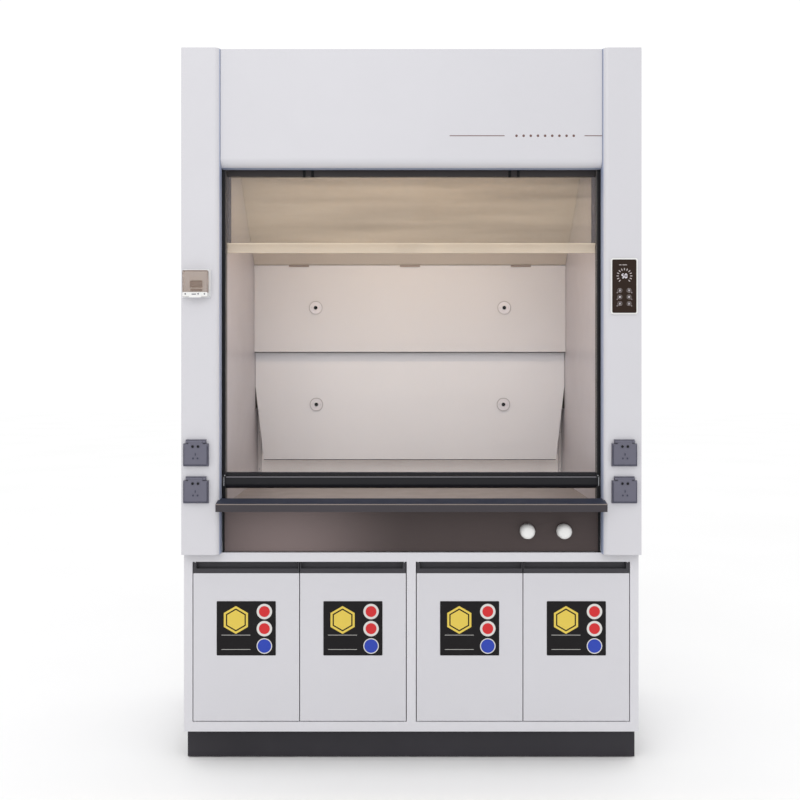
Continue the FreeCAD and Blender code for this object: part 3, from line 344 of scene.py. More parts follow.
# How far each node's edges are eased, in millimetres. The others get EASED_EDGE.
EASED_EDGE = 0.6
EASED_EDGES = {
    "worktop": 2.0, "sash_handle": 2.2, "control_panel": 1.2, "breaker_box": 1.6,
    "breaker_lid": 1.2, "service_panel": 0.5, "rod_sockets": 0.8, "counterweights": 2.0,
    "sash_glass": 0.4, "upper_glass": 0.4, "lamp_housing": 1.5, "socket_plates": 1.0,
}

# Boards that touch each other: welding them would join their corners.
SHARP_NODES = ("cabinet_carcass", "cabinet_front_frame", "chamber_ceiling", "liners", "plinth",
               "top_panel", "door_1", "door_2", "door_3", "door_4")


def smooth_by_angle():
    """A modifier tree that shades smooth except across edges sharper than 35 degrees."""
    tree = bpy.data.node_groups.new("smooth_by_angle", "GeometryNodeTree")
    tree.interface.new_socket("Geometry", in_out="INPUT", socket_type="NodeSocketGeometry")
    tree.interface.new_socket("Geometry", in_out="OUTPUT", socket_type="NodeSocketGeometry")
    entry = tree.nodes.new("NodeGroupInput")
    leave = tree.nodes.new("NodeGroupOutput")
    faces = tree.nodes.new("GeometryNodeSetShadeSmooth")
    edges = tree.nodes.new("GeometryNodeSetShadeSmooth")
    edges.domain = "EDGE"
    angle = tree.nodes.new("GeometryNodeInputMeshEdgeAngle")
    gentle = tree.nodes.new("FunctionNodeCompare")
    gentle.operation = "LESS_THAN"
    gentle.inputs["B"].default_value = math.radians(35)
    tree.links.new(angle.outputs["Unsigned Angle"], gentle.inputs["A"])
    tree.links.new(entry.outputs[0], faces.inputs["Geometry"])
    tree.links.new(faces.outputs[0], edges.inputs["Geometry"])
    tree.links.new(gentle.outputs[0], edges.inputs["Shade Smooth"])
    tree.links.new(edges.outputs[0], leave.inputs[0])
    return tree


SMOOTH = smooth_by_angle()


def shade_by_angle(item):
    """Shades an object smooth except across its sharp edges."""
    smooth = item.modifiers.new("smooth_by_angle", "NODES")
    smooth.node_group = SMOOTH


def ease_edges(item, width):
    """Welds, rounds the sharp edges and shades by angle, all as modifiers. width is in mm."""
    weld = item.modifiers.new("weld", "WELD")
    weld.merge_threshold = 0.00001
    bevel = item.modifiers.new("eased_edges", "BEVEL")
    bevel.width = width * MM
    bevel.segments = 2
    bevel.limit_method = "ANGLE"
    bevel.angle_limit = math.radians(40)
    bevel.use_clamp_overlap = True
    shade_by_angle(item)
    weighted = item.modifiers.new("weighted_normals", "WEIGHTED_NORMAL")
    weighted.keep_sharp = True


for name, material in CAD_FINISHES.items():
    for surface in NODES[name].material_slots:
        surface.material = material
    if name in SHARP_NODES:
        shade_by_angle(NODES[name])
    else:
        ease_edges(NODES[name], EASED_EDGES.get(name, EASED_EDGE))

# ---- Shapes for the added pieces, in millimetres ----


def slab(shape, outline, front, back, finish=0):
    """A plate whose outline is (x, z) points, from y = front to y = back."""
    near = [shape.verts.new((x, front, z)) for x, z in outline]
    far = [shape.verts.new((x, back, z)) for x, z in outline]
    faces = [shape.faces.new(near), shape.faces.new(far[::-1])]
    for index, corner in enumerate(near):
        following = (index + 1) % len(near)
        faces.append(shape.faces.new((corner, far[index], far[following], near[following])))
    for face in faces:
        face.material_index = finish


def block(shape, low, high, finish=0):
    """A rectangular bar between two corners."""
    outline = [(low[0], low[2]), (high[0], low[2]), (high[0], high[2]), (low[0], high[2])]
    slab(shape, outline, low[1], high[1], finish)


def rounded(x, z, width, height, radius, steps=6):
    """A rectangle's outline with round corners, about a centre."""
    points = []
    for quarter, (across, up) in enumerate(((1, 1), (-1, 1), (-1, -1), (1, -1))):
        for step in range(steps + 1):
            angle = math.pi / 2 * (quarter + step / steps)
            points.append((x + across * (width / 2 - radius) + radius * math.cos(angle),
                           z + up * (height / 2 - radius) + radius * math.sin(angle)))
    return points


def frame_slab(shape, outer, inner, front, back, finish=0):
    """A plate with an opening. Both outlines have the same number of points."""
    loops = [[shape.verts.new((x, y, z)) for x, z in outline]
             for outline, y in ((outer, front), (inner, front), (inner, back), (outer, back))]
    for loop, after in zip(loops, loops[1:] + loops[:1]):
        for index, corner in enumerate(loop):
            following = (index + 1) % len(loop)
            face = shape.faces.new((corner, loop[following], after[following], after[index]))
            face.material_index = finish


def turned(shape, centre, axis, profile, steps=32, finish=0):
    """A solid of revolution: (radius, height) points, with the axis through a centre."""
    turn = Vector((0, 0, 1)).rotation_difference(Vector(axis))
    loops = []
    for radius, height in profile:
        count = 1 if radius == 0 else steps
        loop = []
        for step in range(count):
            angle = 2 * math.pi * step / steps
            spot = Vector((radius * math.cos(angle), radius * math.sin(angle), height))
            loop.append(shape.verts.new(Vector(centre) + turn @ spot))
        loops.append(loop)
    for loop, after in zip(loops, loops[1:]):
        for step in range(steps):
            near = (loop[step % len(loop)], loop[(step + 1) % len(loop)])
            far = (after[(step + 1) % len(after)], after[step % len(after)])
            face = shape.faces.new(list(dict.fromkeys(near + far)))
            face.material_index = finish


def screw(shape, centre, axis, radius=3.0, finish=0):
    """A button-head screw with a round-bottomed socket."""
    profile = [(0, -0.4), (radius, -0.4), (radius, 0.3), (radius * 0.86, radius * 0.34),
               (radius * 0.46, radius * 0.46), (radius * 0.42, radius * 0.1), (0, 0.1)]
    turned(shape, centre, axis, profile, 24, finish)


def piece(name, shape, finishes, body, eased=0.0):
    """Makes an object of a shape, with its finishes, body and edge rounding."""
    bmesh.ops.recalc_face_normals(shape, faces=shape.faces)
    bmesh.ops.scale(shape, vec=(MM, MM, MM), verts=shape.verts)
    mesh = bpy.data.meshes.new(name)
    shape.to_mesh(mesh)
    shape.free()
    for finish in finishes:
        mesh.materials.append(finish)
    item = bpy.data.objects.new(name, mesh)
    scene.collection.objects.link(item)
    if eased:
        ease_edges(item, eased)
    else:
        shade_by_angle(item)
    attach(item, body)


def box_mm(name):
    """A node's lowest and highest corners at rest, in millimetres."""
    low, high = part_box(name)
    return [value / MM for value in low], [value / MM for value in high]


def mix_finish(name, colour, rough, metallic=0.0):
    """A finish for a printed or moulded detail."""
    return finish_like(name, colour, rough, 1500, 0.00003, 0.05, metallic)


# ---- Doors: a plain sign plate on each ----

sign_black = mix_finish("sign_black", (0.006, 0.005, 0.006), 0.5)
sign_amber = mix_finish("sign_amber", (0.72, 0.54, 0.07), 0.4)
sign_red = mix_finish("sign_red", (0.60, 0.008, 0.012), 0.5)
sign_blue = mix_finish("sign_blue", (0.008, 0.04, 0.40), 0.5)
sign_pale = mix_finish("sign_pale", (0.66, 0.65, 0.63), 0.45)
SIGN_WIDTH = 195
SIGN_HEIGHT = 179
SIGN_LIFT = 62           # how far its centre lies above the door's
SIGN_DISC = 25.5         # the radius of a disc with its rim
# Shares of the plate's height above its centre, with each disc's finish and inner radius.
SIGN_DISCS = ((0.31, 2, 18.0), (-0.005, 2, 18.0), (-0.325, 3, 22.5))
SIGN_LINES = (-0.124, -0.389)


def polygon(x, z, radius, sides, turn=0.0):
    """A regular polygon's outline."""
    return [(x + radius * math.cos(turn + 2 * math.pi * side / sides),
             z + radius * math.sin(turn + 2 * math.pi * side / sides)) for side in range(sides)]


def sign_plate(number):
    """A black plate with an amber hexagon, three pale-rimmed discs and two thin lines."""
    low, high = box_mm(f"door_{number}")
    x = (low[0] + high[0]) / 2
    z = (low[2] + high[2]) / 2 + SIGN_LIFT
    face = low[1] - 0.8
    shape = bmesh.new()
    slab(shape, rounded(x, z, SIGN_WIDTH, SIGN_HEIGHT, 3), face, low[1] + 0.05, 0)
    left = x - SIGN_WIDTH * 0.175
    top = z + SIGN_HEIGHT * 0.155
    frame_slab(shape, polygon(left, top, 46, 6, math.pi / 6),
               polygon(left, top, 38, 6, math.pi / 6), face - 0.15, face + 0.1, 1)
    slab(shape, polygon(left, top, 33, 6, math.pi / 6), face - 0.15, face + 0.1, 1)
    for share, finish, centre in SIGN_DISCS:
        spot = (x + SIGN_WIDTH * 0.307, face + 0.1, z + SIGN_HEIGHT * share)
        turned(shape, spot, FORWARD, [(0, 0), (SIGN_DISC, 0), (SIGN_DISC, 0.25), (0, 0.25)], 40, 4)
        turned(shape, spot, FORWARD, [(0, 0.2), (centre, 0.2), (centre, 0.4), (0, 0.4)], 40,
               finish)
    for share in SIGN_LINES:
        slab(shape, rounded(left, z + SIGN_HEIGHT * share, SIGN_WIDTH * 0.49, 1.2, 0.5, 2),
             face - 0.1, face + 0.1, 4)
    piece(f"sign_plate_{number}", shape, [sign_black, sign_amber, sign_red, sign_blue, sign_pale],
          f"door_{number}")


for number in range(1, 5):
    sign_plate(number)

# ---- Header: two thin lines with a row of dots between ----

line_brown = mix_finish("line_brown", (0.16, 0.085, 0.075), 0.4, 0.2)
LINE_HEIGHT = 2066
LINE_ENDS = ((125, 305), (566, 625))
DOTS = 9
DOT_START = 344
DOT_STEP = 23.4


def header_lines():
    """Two inlaid lines and nine dots where a name might stand."""
    low, high = box_mm("header_panel")
    shape = bmesh.new()
    for start, end in LINE_ENDS:
        length = min(end, high[0] - 0.5) - start
        slab(shape, rounded((start + end) / 2, LINE_HEIGHT, length, 2.6, 0.6, 2),
             low[1] - 0.3, low[1] + 0.2)
    for index in range(DOTS):
        spot = (DOT_START + DOT_STEP * index, low[1] + 0.2, LINE_HEIGHT)
        turned(shape, spot, FORWARD, [(0, 0), (4.2, 0), (4.2, 0.45), (3.8, 0.6), (0, 0.6)], 20)
    piece("header_lines", shape, [line_brown], "hood")


header_lines()

# ---- Control panel ----

panel_print = mix_finish("panel_print", (0.56, 0.50, 0.50), 0.35)
panel_glow = mix_finish("panel_digits", (0.86, 0.82, 0.88), 0.3)
make_shine(panel_glow, (0.86, 0.82, 0.9), 0.3)
SEGMENTS = {"0": "abcdef", "5": "acdfg"}
BEZEL_BACK = -384.6           # just behind the column's face
DIAL_DROP = 53.5              # the dial's centre, below the panel's top
TICKS = 13
TICK_INNER, TICK_OUTER, TICK_HALF = 18.6, 25.6, 1.25
KEY_DROPS = (100.5, 121.8, 143.5)
KEY_REACH = 14.8
KEY_RING = [(6.3, 0), (7.0, 0), (7.0, 0.28), (6.3, 0.28), (6.3, 0)]
DIGIT_REACH = 4.9
DASH_DROP = 17.5


def digit(shape, x, z, symbol, front, back):
    """A plain seven-segment numeral, 8 mm wide and 15 mm high."""
    wide, tall, line = 3.0, 6.4, 1.9
    bars = {"a": (0, tall, 1), "g": (0, 0, 1), "d": (0, -tall, 1), "b": (wide, tall / 2, 0),
            "c": (wide, -tall / 2, 0), "e": (-wide, -tall / 2, 0), "f": (-wide, tall / 2, 0)}
    for key in SEGMENTS[symbol]:
        across, up, flat = bars[key]
        size = (2 * wide - 0.6, line) if flat else (line, tall - 0.6)
        slab(shape, rounded(x + across, z + up, size[0], size[1], line * 0.45, 3), front, back)


def panel_bezel():
    """A pale frame round the touch glass."""
    low, high = box_mm("control_panel")
    x, z = (low[0] + high[0]) / 2, (low[2] + high[2]) / 2
    width, height = high[0] - low[0], high[2] - low[2]
    shape = bmesh.new()
    frame_slab(shape, rounded(x, z, width + 10, height + 10, 8),
               rounded(x, z, width + 0.3, height + 0.3, 4.5), low[1] + 1.5, BEZEL_BACK)
    piece("panel_bezel", shape, [gloss_white], "hood", 0.5)


def panel_marks():
    """A ring of ticks round a number, six round touch keys and two dashes."""
    low, high = box_mm("control_panel")
    x = (low[0] + high[0]) / 2
    front, back = low[1] - 0.18, low[1] + 0.1
    shape, bright = bmesh.new(), bmesh.new()
    dial = high[2] - DIAL_DROP
    for tick in range(TICKS):
        angle = math.radians(-45 + 22.5 * tick)
        along = Vector((math.cos(angle), math.sin(angle)))
        side = Vector((-along.y, along.x)) * TICK_HALF
        inner, outer = along * TICK_INNER, along * TICK_OUTER
        corners = [inner + side, inner - side, outer - side, outer + side]
        slab(shape, [(x + corner.x, dial + corner.y) for corner in corners], front, back)
    for row, drop in enumerate(KEY_DROPS):
        for side in (-1, 1):
            across, up = x + side * KEY_REACH, high[2] - drop
            turned(shape, (across, back, up), FORWARD, KEY_RING, 28)
            wide, tall = (2.2, 6.0) if (row + side) % 2 else (4.4, 4.4)
            slab(bright, rounded(across, up, wide, tall, wide / 2.1, 4), front, back)
            slab(shape, rounded(across + side * 8.6, up - 7.4, 2.8, 2.8, 1.3, 3), front, back)
    for offset, length in ((-13.5, 8), (0.5, 15)):
        slab(shape, rounded(x + offset, high[2] - DASH_DROP, length, 2.0, 0.9, 3), front, back)
    piece("panel_marks", shape, [panel_print], "hood")
    for side, symbol in ((-1, "5"), (1, "0")):
        digit(bright, x + side * DIGIT_REACH, dial, symbol, front, back)
    piece("panel_digits", bright, [panel_glow], "hood")


panel_bezel()
panel_marks()

# ---- Power outlets: ports and contact slots in the flip lids ----

port_black = mix_finish("port_black", (0.006, 0.006, 0.008), 0.5)
slot_grey = mix_finish("slot_grey", (0.055, 0.057, 0.085), 0.5)
PORT_REACH, PORT_LIFT = 8.8, 21
PORT_HOLE = [(0, 0), (4.4, 0), (4.4, 0.66), (0, 0.66)]
PORT_RIM = [(4.4, 0.2), (4.4, 1.0), (5.0, 0.8), (5.3, 0.2), (4.4, 0.2)]
TALL_SLOT_DROP = 4.5
SLOT_REACH, SLOT_DROP = 7.3, 17.5
LINE_TOP = 14                 # how far below the lid's top the side lines end


def lid_ports(name):
    """Two round ports with raised rims, three slots and dark lines of painted shade along three edges.
    """
    low, high = box_mm(name)
    x = (low[0] + high[0]) / 2
    middle = (low[2] + high[2]) / 2
    front, back = low[1] - 0.12, low[1] + 0.3
    shape = bmesh.new()
    for side in (-1, 1):
        spot = (x + side * PORT_REACH, low[1] + 0.6, middle + PORT_LIFT)
        turned(shape, spot, FORWARD, PORT_HOLE, 28, 0)
        turned(shape, spot, FORWARD, PORT_RIM, 28, 2)
    slab(shape, rounded(x, middle - TALL_SLOT_DROP, 3.0, 8.5, 1.4, 3), front, back, 1)
    for side in (-1, 1):
        slab(shape, rounded(x + side * SLOT_REACH, middle - SLOT_DROP, 5.2, 6.0, 2.0, 4),
             front, back, 1)
    # The dark lines along the lid's foot and sides are painted shade at its edges.
    wide, tall = high[0] - low[0], high[2] - LINE_TOP - low[2]
    slab(shape, rounded(x, low[2] + 1.2, wide - 1, 1.8, 0.8, 3), front, back, 1)
    for side in (-1, 1):
        slab(shape, rounded(x + side * (wide / 2 - 1.1), low[2] + tall / 2, 1.4, tall - 2, 0.6, 3),
             front, back, 1)
    piece(f"ports_{name}", shape, [port_black, slot_grey, outlet_plastic], name)


for side in ("left", "right"):
    for level in ("high", "low"):
        lid_ports(f"socket_lid_{side}_{level}")

# ---- Breaker: the window's lip and rim, the parts behind it, screws, the lever's ribs ----

smoked_rim = mix_finish("smoked_rim", (0.20, 0.145, 0.115), 0.35)
LIP_SCREWS = ((-31, 0.4), (11, 2.6), (31, 0.4))     # how far across, and how far forward
RIM_REACH = 40
LEVER_AXIS_LIFT = 7                                 # the lever's axis above its lower edge
GUARD_REACH = 18.5                                  # the guards above and below that axis
RECESS_FLOOR = (16.4, 16.9)                         # its front and back, behind the box's face
BOX_SCREW_REACH = 43
RIBS, RIB_START, RIB_STEP = 5, 2.4, 1.8


def breaker_lid_lip():
    """The window's opaque lip and its tab, with a dash and three screws."""
    low, high = box_mm("breaker_lid")
    x = (low[0] + high[0]) / 2
    shape = bmesh.new()
    slab(shape, rounded(x, low[2] + 7.5, high[0] - low[0] - 1, 14, 3.5),
         low[1] - 0.4, low[1] + 3.2, 0)
    slab(shape, rounded(x + 1, low[2] + 3.5, 42, 13, 6.0), low[1] - 2.6, low[1] + 0.4, 0)
    slab(shape, rounded(x - 3, low[2] + 7.6, 15, 3.0, 1.4, 3), low[1] - 2.8, low[1] - 2.4, 1)
    for across, forward in LIP_SCREWS:
        screw(shape, (x + across, low[1] - forward, low[2] + 8.5), FORWARD, 2.4, 1)
    piece("breaker_lid_lip", shape, [gloss_white, slot_grey], "breaker_lid", 0.5)


def breaker_lid_rim():
    """A darker edge along the top and the sides of the window."""
    low, high = box_mm("breaker_lid")
    x = (low[0] + high[0]) / 2
    shape = bmesh.new()
    slab(shape, rounded(x, high[2] - 1.4, high[0] - low[0] - 0.6, 2.6, 1.0, 3),
         low[1] - 0.5, low[1] + 1.0)
    for side in (-1, 1):
        block(shape, (x + side * RIM_REACH - 0.9, low[1] - 0.3, low[2] + 15),
              (x + side * RIM_REACH + 0.9, low[1] + 1.0, high[2] - 1))
    piece("breaker_lid_rim", shape, [smoked_rim], "breaker_lid", 0.4)


def breaker_recess_parts():
    """Two white guards, a dark bar and the recess's dark floor round the lever."""
    lid_low, lid_high = box_mm("breaker_lid")
    x = (lid_low[0] + lid_high[0]) / 2
    face = box_mm("breaker_box")[0][1]
    axis = box_mm("breaker_lever")[0][2] + LEVER_AXIS_LIFT
    shape = bmesh.new()
    for up in (-1, 1):
        block(shape, (x - 19.8, face - 0.2, axis + up * GUARD_REACH - 7),
              (x + 19.8, face + 2, axis + up * GUARD_REACH + 7), 1)
    slab(shape, rounded(x, axis - 19.5, 38, 8, 1.5, 3), face - 1.0, face + 0.5, 0)
    slab(shape, rounded(x, axis, 39.2, 49.2, 1.5), face + RECESS_FLOOR[0], face + RECESS_FLOOR[1], 0)
    piece("breaker_recess_parts", shape, [pull_plastic, gloss_white], "hood", 0.3)


def breaker_box_screws():
    """A screw in each corner of the breaker's box."""
    low, high = box_mm("breaker_box")
    shape = bmesh.new()
    for side in (-1, 1):
        for z in (low[2] + 3.6, high[2] - 3.0):
            screw(shape, ((low[0] + high[0]) / 2 + side * BOX_SCREW_REACH, low[1], z), FORWARD, 1.7)
    piece("breaker_box_screws", shape, [zinc], "hood")


def breaker_lever_ribs():
    """Fine ribs across the lever's lower end."""
    low, high = box_mm("breaker_lever")
    shape = bmesh.new()
    for rib in range(RIBS):
        slab(shape, rounded((low[0] + high[0]) / 2, low[2] + RIB_START + RIB_STEP * rib,
                            30, 0.7, 0.3, 2), low[1] - 0.25, low[1] + 0.5)
    piece("breaker_lever_ribs", shape, [pull_plastic], "breaker_lever")


breaker_lid_lip()
breaker_lid_rim()
breaker_recess_parts()
breaker_box_screws()
breaker_lever_ribs()

# ---- Sash opening: seals, brackets, trims, painted highlights and painted shade in gaps ----

seal_clear = clear_glass("seal_strip_plastic", (0.88, 0.76, 0.61), 0.45, 0.2)
# A warm bead that stands for a painted highlight on the sill's edge.
highlight_bead_metal = finish_like("warm_painted_edge_highlight", (0.25, 0.21, 0.19), 0.4, 900, 0.00003, 0.05, 0.3)
side_seal_grey = clear_glass("side_seal_plastic", (0.15, 0.135, 0.145), 0.62, 0.3)
# A light grey line that stands for a painted highlight on the handle.
handle_highlight_finish = finish_like("satin_handle_line", (0.20, 0.195, 0.215), 0.4, 900, 0.00002, 0.05, 0.2)
bracket_black = mix_finish("bracket_black", (0.004, 0.004, 0.005), 0.6)
# Near-black for painted shade in gaps, slots and vents.
gap_shade_black = mix_finish("painted_gap_shade", (0.012, 0.012, 0.014), 0.6)
SEAL_HEIGHT = 29
SEAL_HALF = 612
BEAD_HALF = 611
BRACKET_REACH = 342
SIDE_SEAL_INNER, SIDE_SEAL_OUTER = 600, 614.5
GAP_END, GAP_LOW, GAP_HIGH = 624.6, 698.5, 842


def strip(shape, profile, half):
    """A profile of (y, z) points drawn out along x to both sides, in millimetres."""
    ends = [[shape.verts.new((x, y, z)) for y, z in profile] for x in (-half, half)]
    shape.faces.new(ends[0])
    shape.faces.new(ends[1][::-1])
    for index in range(len(profile)):
        after = (index + 1) % len(profile)
        shape.faces.new([ends[0][after], ends[0][index], ends[1][index], ends[1][after]])


def fixed_pane_seal():
    """A translucent strip on the lower edge of the fixed pane, with its soft lip."""
    low = box_mm("upper_glass")[0]
    near, step, front = low[1] - 0.1, low[1] - 0.9, low[1] - 1.7
    bottom, top = low[2] - 0.3, low[2] + SEAL_HEIGHT
    lip = bottom + 2.4
    shape = bmesh.new()
    strip(shape, [(near, bottom), (near, top), (step, top), (step, lip), (front, lip),
                  (front, bottom)], SEAL_HALF)
    piece("fixed_pane_seal", shape, [seal_clear], "hood", 0.2)


def rail_brackets():
    """Two pairs of black hanger straps on the fixed pane's top rail."""
    low, high = box_mm("upper_glass_rail")
    shape = bmesh.new()
    for side in (-1, 1):
        for shift in (-14, 14):
            x = side * BRACKET_REACH + shift
            block(shape, (x - 4.5, low[1] - 2.2, low[2] - 3), (x + 4.5, low[1] + 0.3, high[2]))
            screw(shape, (x, low[1] - 2.2, low[2] + 8), FORWARD, 2.2)
    piece("rail_brackets", shape, [bracket_black], "hood", 0.4)


def sash_top_edge():
    """A clear protecting bead on the top edge of the sliding glass."""
    low, high = box_mm("sash_glass")
    near, far = low[1] - 0.1, high[1] + 0.1
    skirt, crown = high[2] - 3.2, high[2] + 0.1
    shape = bmesh.new()
    strip(shape, [(near - 0.8, skirt), (near, skirt), (near, crown), (far, crown), (far, skirt),
                  (far + 0.8, skirt), (far + 0.8, crown + 0.8), (near - 0.8, crown + 0.8)], BEAD_HALF)
    piece("sash_top_bead", shape, [seal_clear], "sash", 0.2)


def sill_highlight_bead():
    """A bright bead along the sill's upper front edge, standing for the painted highlight of that
    edge.
    """
    low, high = box_mm("airfoil_sill")
    shape = bmesh.new()
    edge = high[2] - 12
    block(shape, (low[0] + 1, low[1] - 0.3, edge - 2.4), (high[0] - 1, low[1] + 2.4, edge + 0.5))
    piece("sill_highlight_bead", shape, [highlight_bead_metal], "hood", 0.6)


def handle_painted_highlight():
    """A bright line where the sash handle's grip meets its upper ridge: a painted highlight."""
    low, high = box_mm("sash_handle")
    shape = bmesh.new()
    block(shape, (low[0] + 2, low[1] - 0.2, high[2] - 15.6),
          (high[0] - 2, low[1] + 3.0, high[2] - 12.8))
    piece("handle_painted_highlight", shape, [handle_highlight_finish], "sash", 0.4)


def fill_service_gaps_with_shade():
    """Black blocks of painted shade in the gaps at both ends of the service panel."""
    panel_low, panel_high = box_mm("service_panel")
    for side, name in ((-1, "left"), (1, "right")):
        inner, outer = sorted((side * (panel_high[0] + 0.2), side * GAP_END))
        shape = bmesh.new()
        block(shape, (inner, panel_low[1] - 4, GAP_LOW), (outer, panel_high[1], GAP_HIGH))
        piece(f"service_gap_shade_{name}", shape, [gap_shade_black], "hood", 0.5)


def header_underlip():
    """A fold under the header, in front of the fixed pane's rail, its underside blue-grey with painted
    shade.
    """
    low, high = box_mm("header_panel")
    shape = bmesh.new()
    block(shape, (low[0], high[1] - 1.5, low[2] - 0.5), (high[0], high[1] + 3.5, low[2] + 1.2))
    piece("header_underlip", shape, [header_coat], "hood", 0.3)


def side_seals():
    """Grey brush strips on both sides of the fixed pane."""
    low, high = box_mm("upper_glass")
    for side, name in ((-1, "left"), (1, "right")):
        inner, outer = sorted((side * SIDE_SEAL_INNER, side * SIDE_SEAL_OUTER))
        shape = bmesh.new()
        block(shape, (inner, low[1] - 1.6, low[2] + 30), (outer, low[1] - 0.1, high[2] - 19))
        piece(f"side_seal_{name}", shape, [side_seal_grey], "hood", 0.3)


def end_cap_screws():
    """A bright screw at the top of each end cap of the sash handle, and a trim beside it."""
    low, high = box_mm("sash_end_caps")
    shape = bmesh.new()
    for side in (-1, 1):
        screw(shape, (side * (high[0] - 2), low[1], high[2] - 3), FORWARD, 1.7)
        inner, outer = sorted((side * (high[0] - 0.2), side * (high[0] + 1.4)))
        block(shape, (inner, low[1] + 0.5, low[2] + 3), (outer, low[1] + 2.5, high[2] - 8))
    piece("end_cap_screws", shape, [zinc], "sash")


fixed_pane_seal()
header_underlip()
side_seals()
end_cap_screws()
rail_brackets()
sash_top_edge()
sill_highlight_bead()
handle_painted_highlight()
fill_service_gaps_with_shade()

# ---- Chamber: rod sockets, painted shadows round the baffles, the strip of painted light under them, battens ----

# The throat's black is painted shade in the socket, and the thin dark ring round it is painted shadow.
throat_black = mix_finish("throat_black", (0.002, 0.002, 0.002), 0.9)
socket_shadow_ring = mix_finish("socket_shadow_ring", (0.30, 0.27, 0.27), 0.6)
# Dark brown for painted shadow under and beside the baffles.
painted_baffle_shadow = mix_finish("painted_baffle_shadow", (0.03, 0.022, 0.02), 0.7)
# The strip under the lower baffle glows faintly, though it is no lamp: painted light.
painted_glow_board = finish_like("pale_splash_board", (0.95, 0.90, 0.88), 0.4, 500, 0.000006, 0.02)
make_shine(painted_glow_board, (1.0, 0.90, 0.85), 0.15)
FLANGE_THICKNESS = 4
SOCKET_LIP = [(6.6, -1), (6.6, 1.6), (7.6, 2.4), (9.6, 2.2), (10.6, 0.6), (10.6, -1), (6.6, -1)]
SOCKET_THROAT = [(0, -6), (6.55, -6), (6.55, 0.8), (6.2, 0.8), (6.2, -5.5), (0, -5.5)]
SOCKET_BORE_EDGE = [(6.3, 1.5), (7.4, 2.2), (7.4, 2.7), (6.3, 2.0), (6.3, 1.5)]
# A thin dark ring of painted shadow round the socket.
SOCKET_SHADOW_RING = [(24.6, 0.2), (26.4, 0.2), (26.4, 0.9), (24.6, 0.9), (24.6, 0.2)]
SOCKET_SCREW_REACH = 17
# The painted shadow wedges' corners: past the lower baffle's side, and down from where its taper
# starts.
TAPER_START = 1236
WEDGE = ((0.6, 2), (0.6, 86), (-10.4, 86), (-1.0, 2))
LOWER_EDGE_HALF = 585         # half of the lower baffle's bottom edge
BATTEN_INNER, BATTEN_OUTER = 608, 619.8
BATTEN_LOW, BATTEN_HIGH = 860, 1985
BATTEN_SCREWS = range(900, 1960, 150)
GLOW_MIDDLE, GLOW_WIDTH, GLOW_HEIGHT = 908, 1214.8, 104


def rod_socket_rings():
    """A lip, a dark throat darkened with painted shade, a thin ring of painted shadow and two small
    screws for each rod socket.
    """
    shape = bmesh.new()
    for mount in frame["record"]["mounts"]:
        if mount["name"].startswith("rod_socket"):
            x, baffle_face, z = (value / MM for value in mount["pos_m"])
            y = baffle_face - FLANGE_THICKNESS
            turned(shape, (x, y, z), FORWARD, SOCKET_LIP, 36, 0)
            turned(shape, (x, y, z), FORWARD, SOCKET_THROAT, 36, 1)
            turned(shape, (x, y, z), FORWARD, SOCKET_BORE_EDGE, 36, 1)
            turned(shape, (x, y, z), FORWARD, SOCKET_SHADOW_RING, 48, 2)
            for side in (-1, 1):
                screw(shape, (x + side * SOCKET_SCREW_REACH, y, z), FORWARD, 2.2, 3)
    piece("rod_socket_rings", shape, [socket_plastic, throat_black, socket_shadow_ring, zinc], "hood")


def wall_battens():
    """Slim corner battens where the side liners meet the rear liner, with their screws."""
    rear = box_mm("liners")[1][1]
    front = rear - 16
    shape = bmesh.new()
    for side in (-1, 1):
        inner, outer = sorted((side * BATTEN_OUTER, side * BATTEN_INNER))
        block(shape, (inner, front, BATTEN_LOW), (outer, rear - 4.2, BATTEN_HIGH), 0)
        for z in BATTEN_SCREWS:
            screw(shape, (side * 614, front, z), FORWARD, 2.6, 1)
    piece("wall_battens", shape, [liner_board, zinc], "hood", 0.8)


def baffle_shadows():
    """Dark strips of painted shadow under the middle and the lower baffle, and wedges of painted
    shadow beside the lower one.
    """
    low, high = box_mm("baffle_middle")
    taper_low, taper_high = box_mm("baffle_lower")
    front, back = taper_low[1] + 0.4, taper_low[1] + 2.4
    shape = bmesh.new()
    block(shape, (low[0] + 2, high[1] - 4.2, low[2] - 3.4), (high[0] - 2, high[1] - 0.4, low[2] - 0.1))
    for side in (-1, 1):
        wedge = [(side * (taper_high[0] + reach), TAPER_START - down) for reach, down in WEDGE]
        slab(shape, wedge, front, back)
    block(shape, (-LOWER_EDGE_HALF, front, taper_low[2] - 2.6),
          (LOWER_EDGE_HALF, back, taper_low[2] - 0.1))
    piece("baffle_shadows", shape, [painted_baffle_shadow], "hood")


def glowing_strip():
    """A pale strip on the rear liner, under the lower baffle, with a faint glow of its own: painted
    light.
    """
    rear = box_mm("liners")[1][1]
    shape = bmesh.new()
    slab(shape, rounded(0, GLOW_MIDDLE, GLOW_WIDTH, GLOW_HEIGHT, 1.5, 3), rear - 5.6, rear - 3.9)
    piece("glowing_strip", shape, [painted_glow_board], "hood")


rod_socket_rings()
baffle_shadows()
glowing_strip()
wall_battens()

# ---- Sides, back and top: covers, screws, duct flange ----

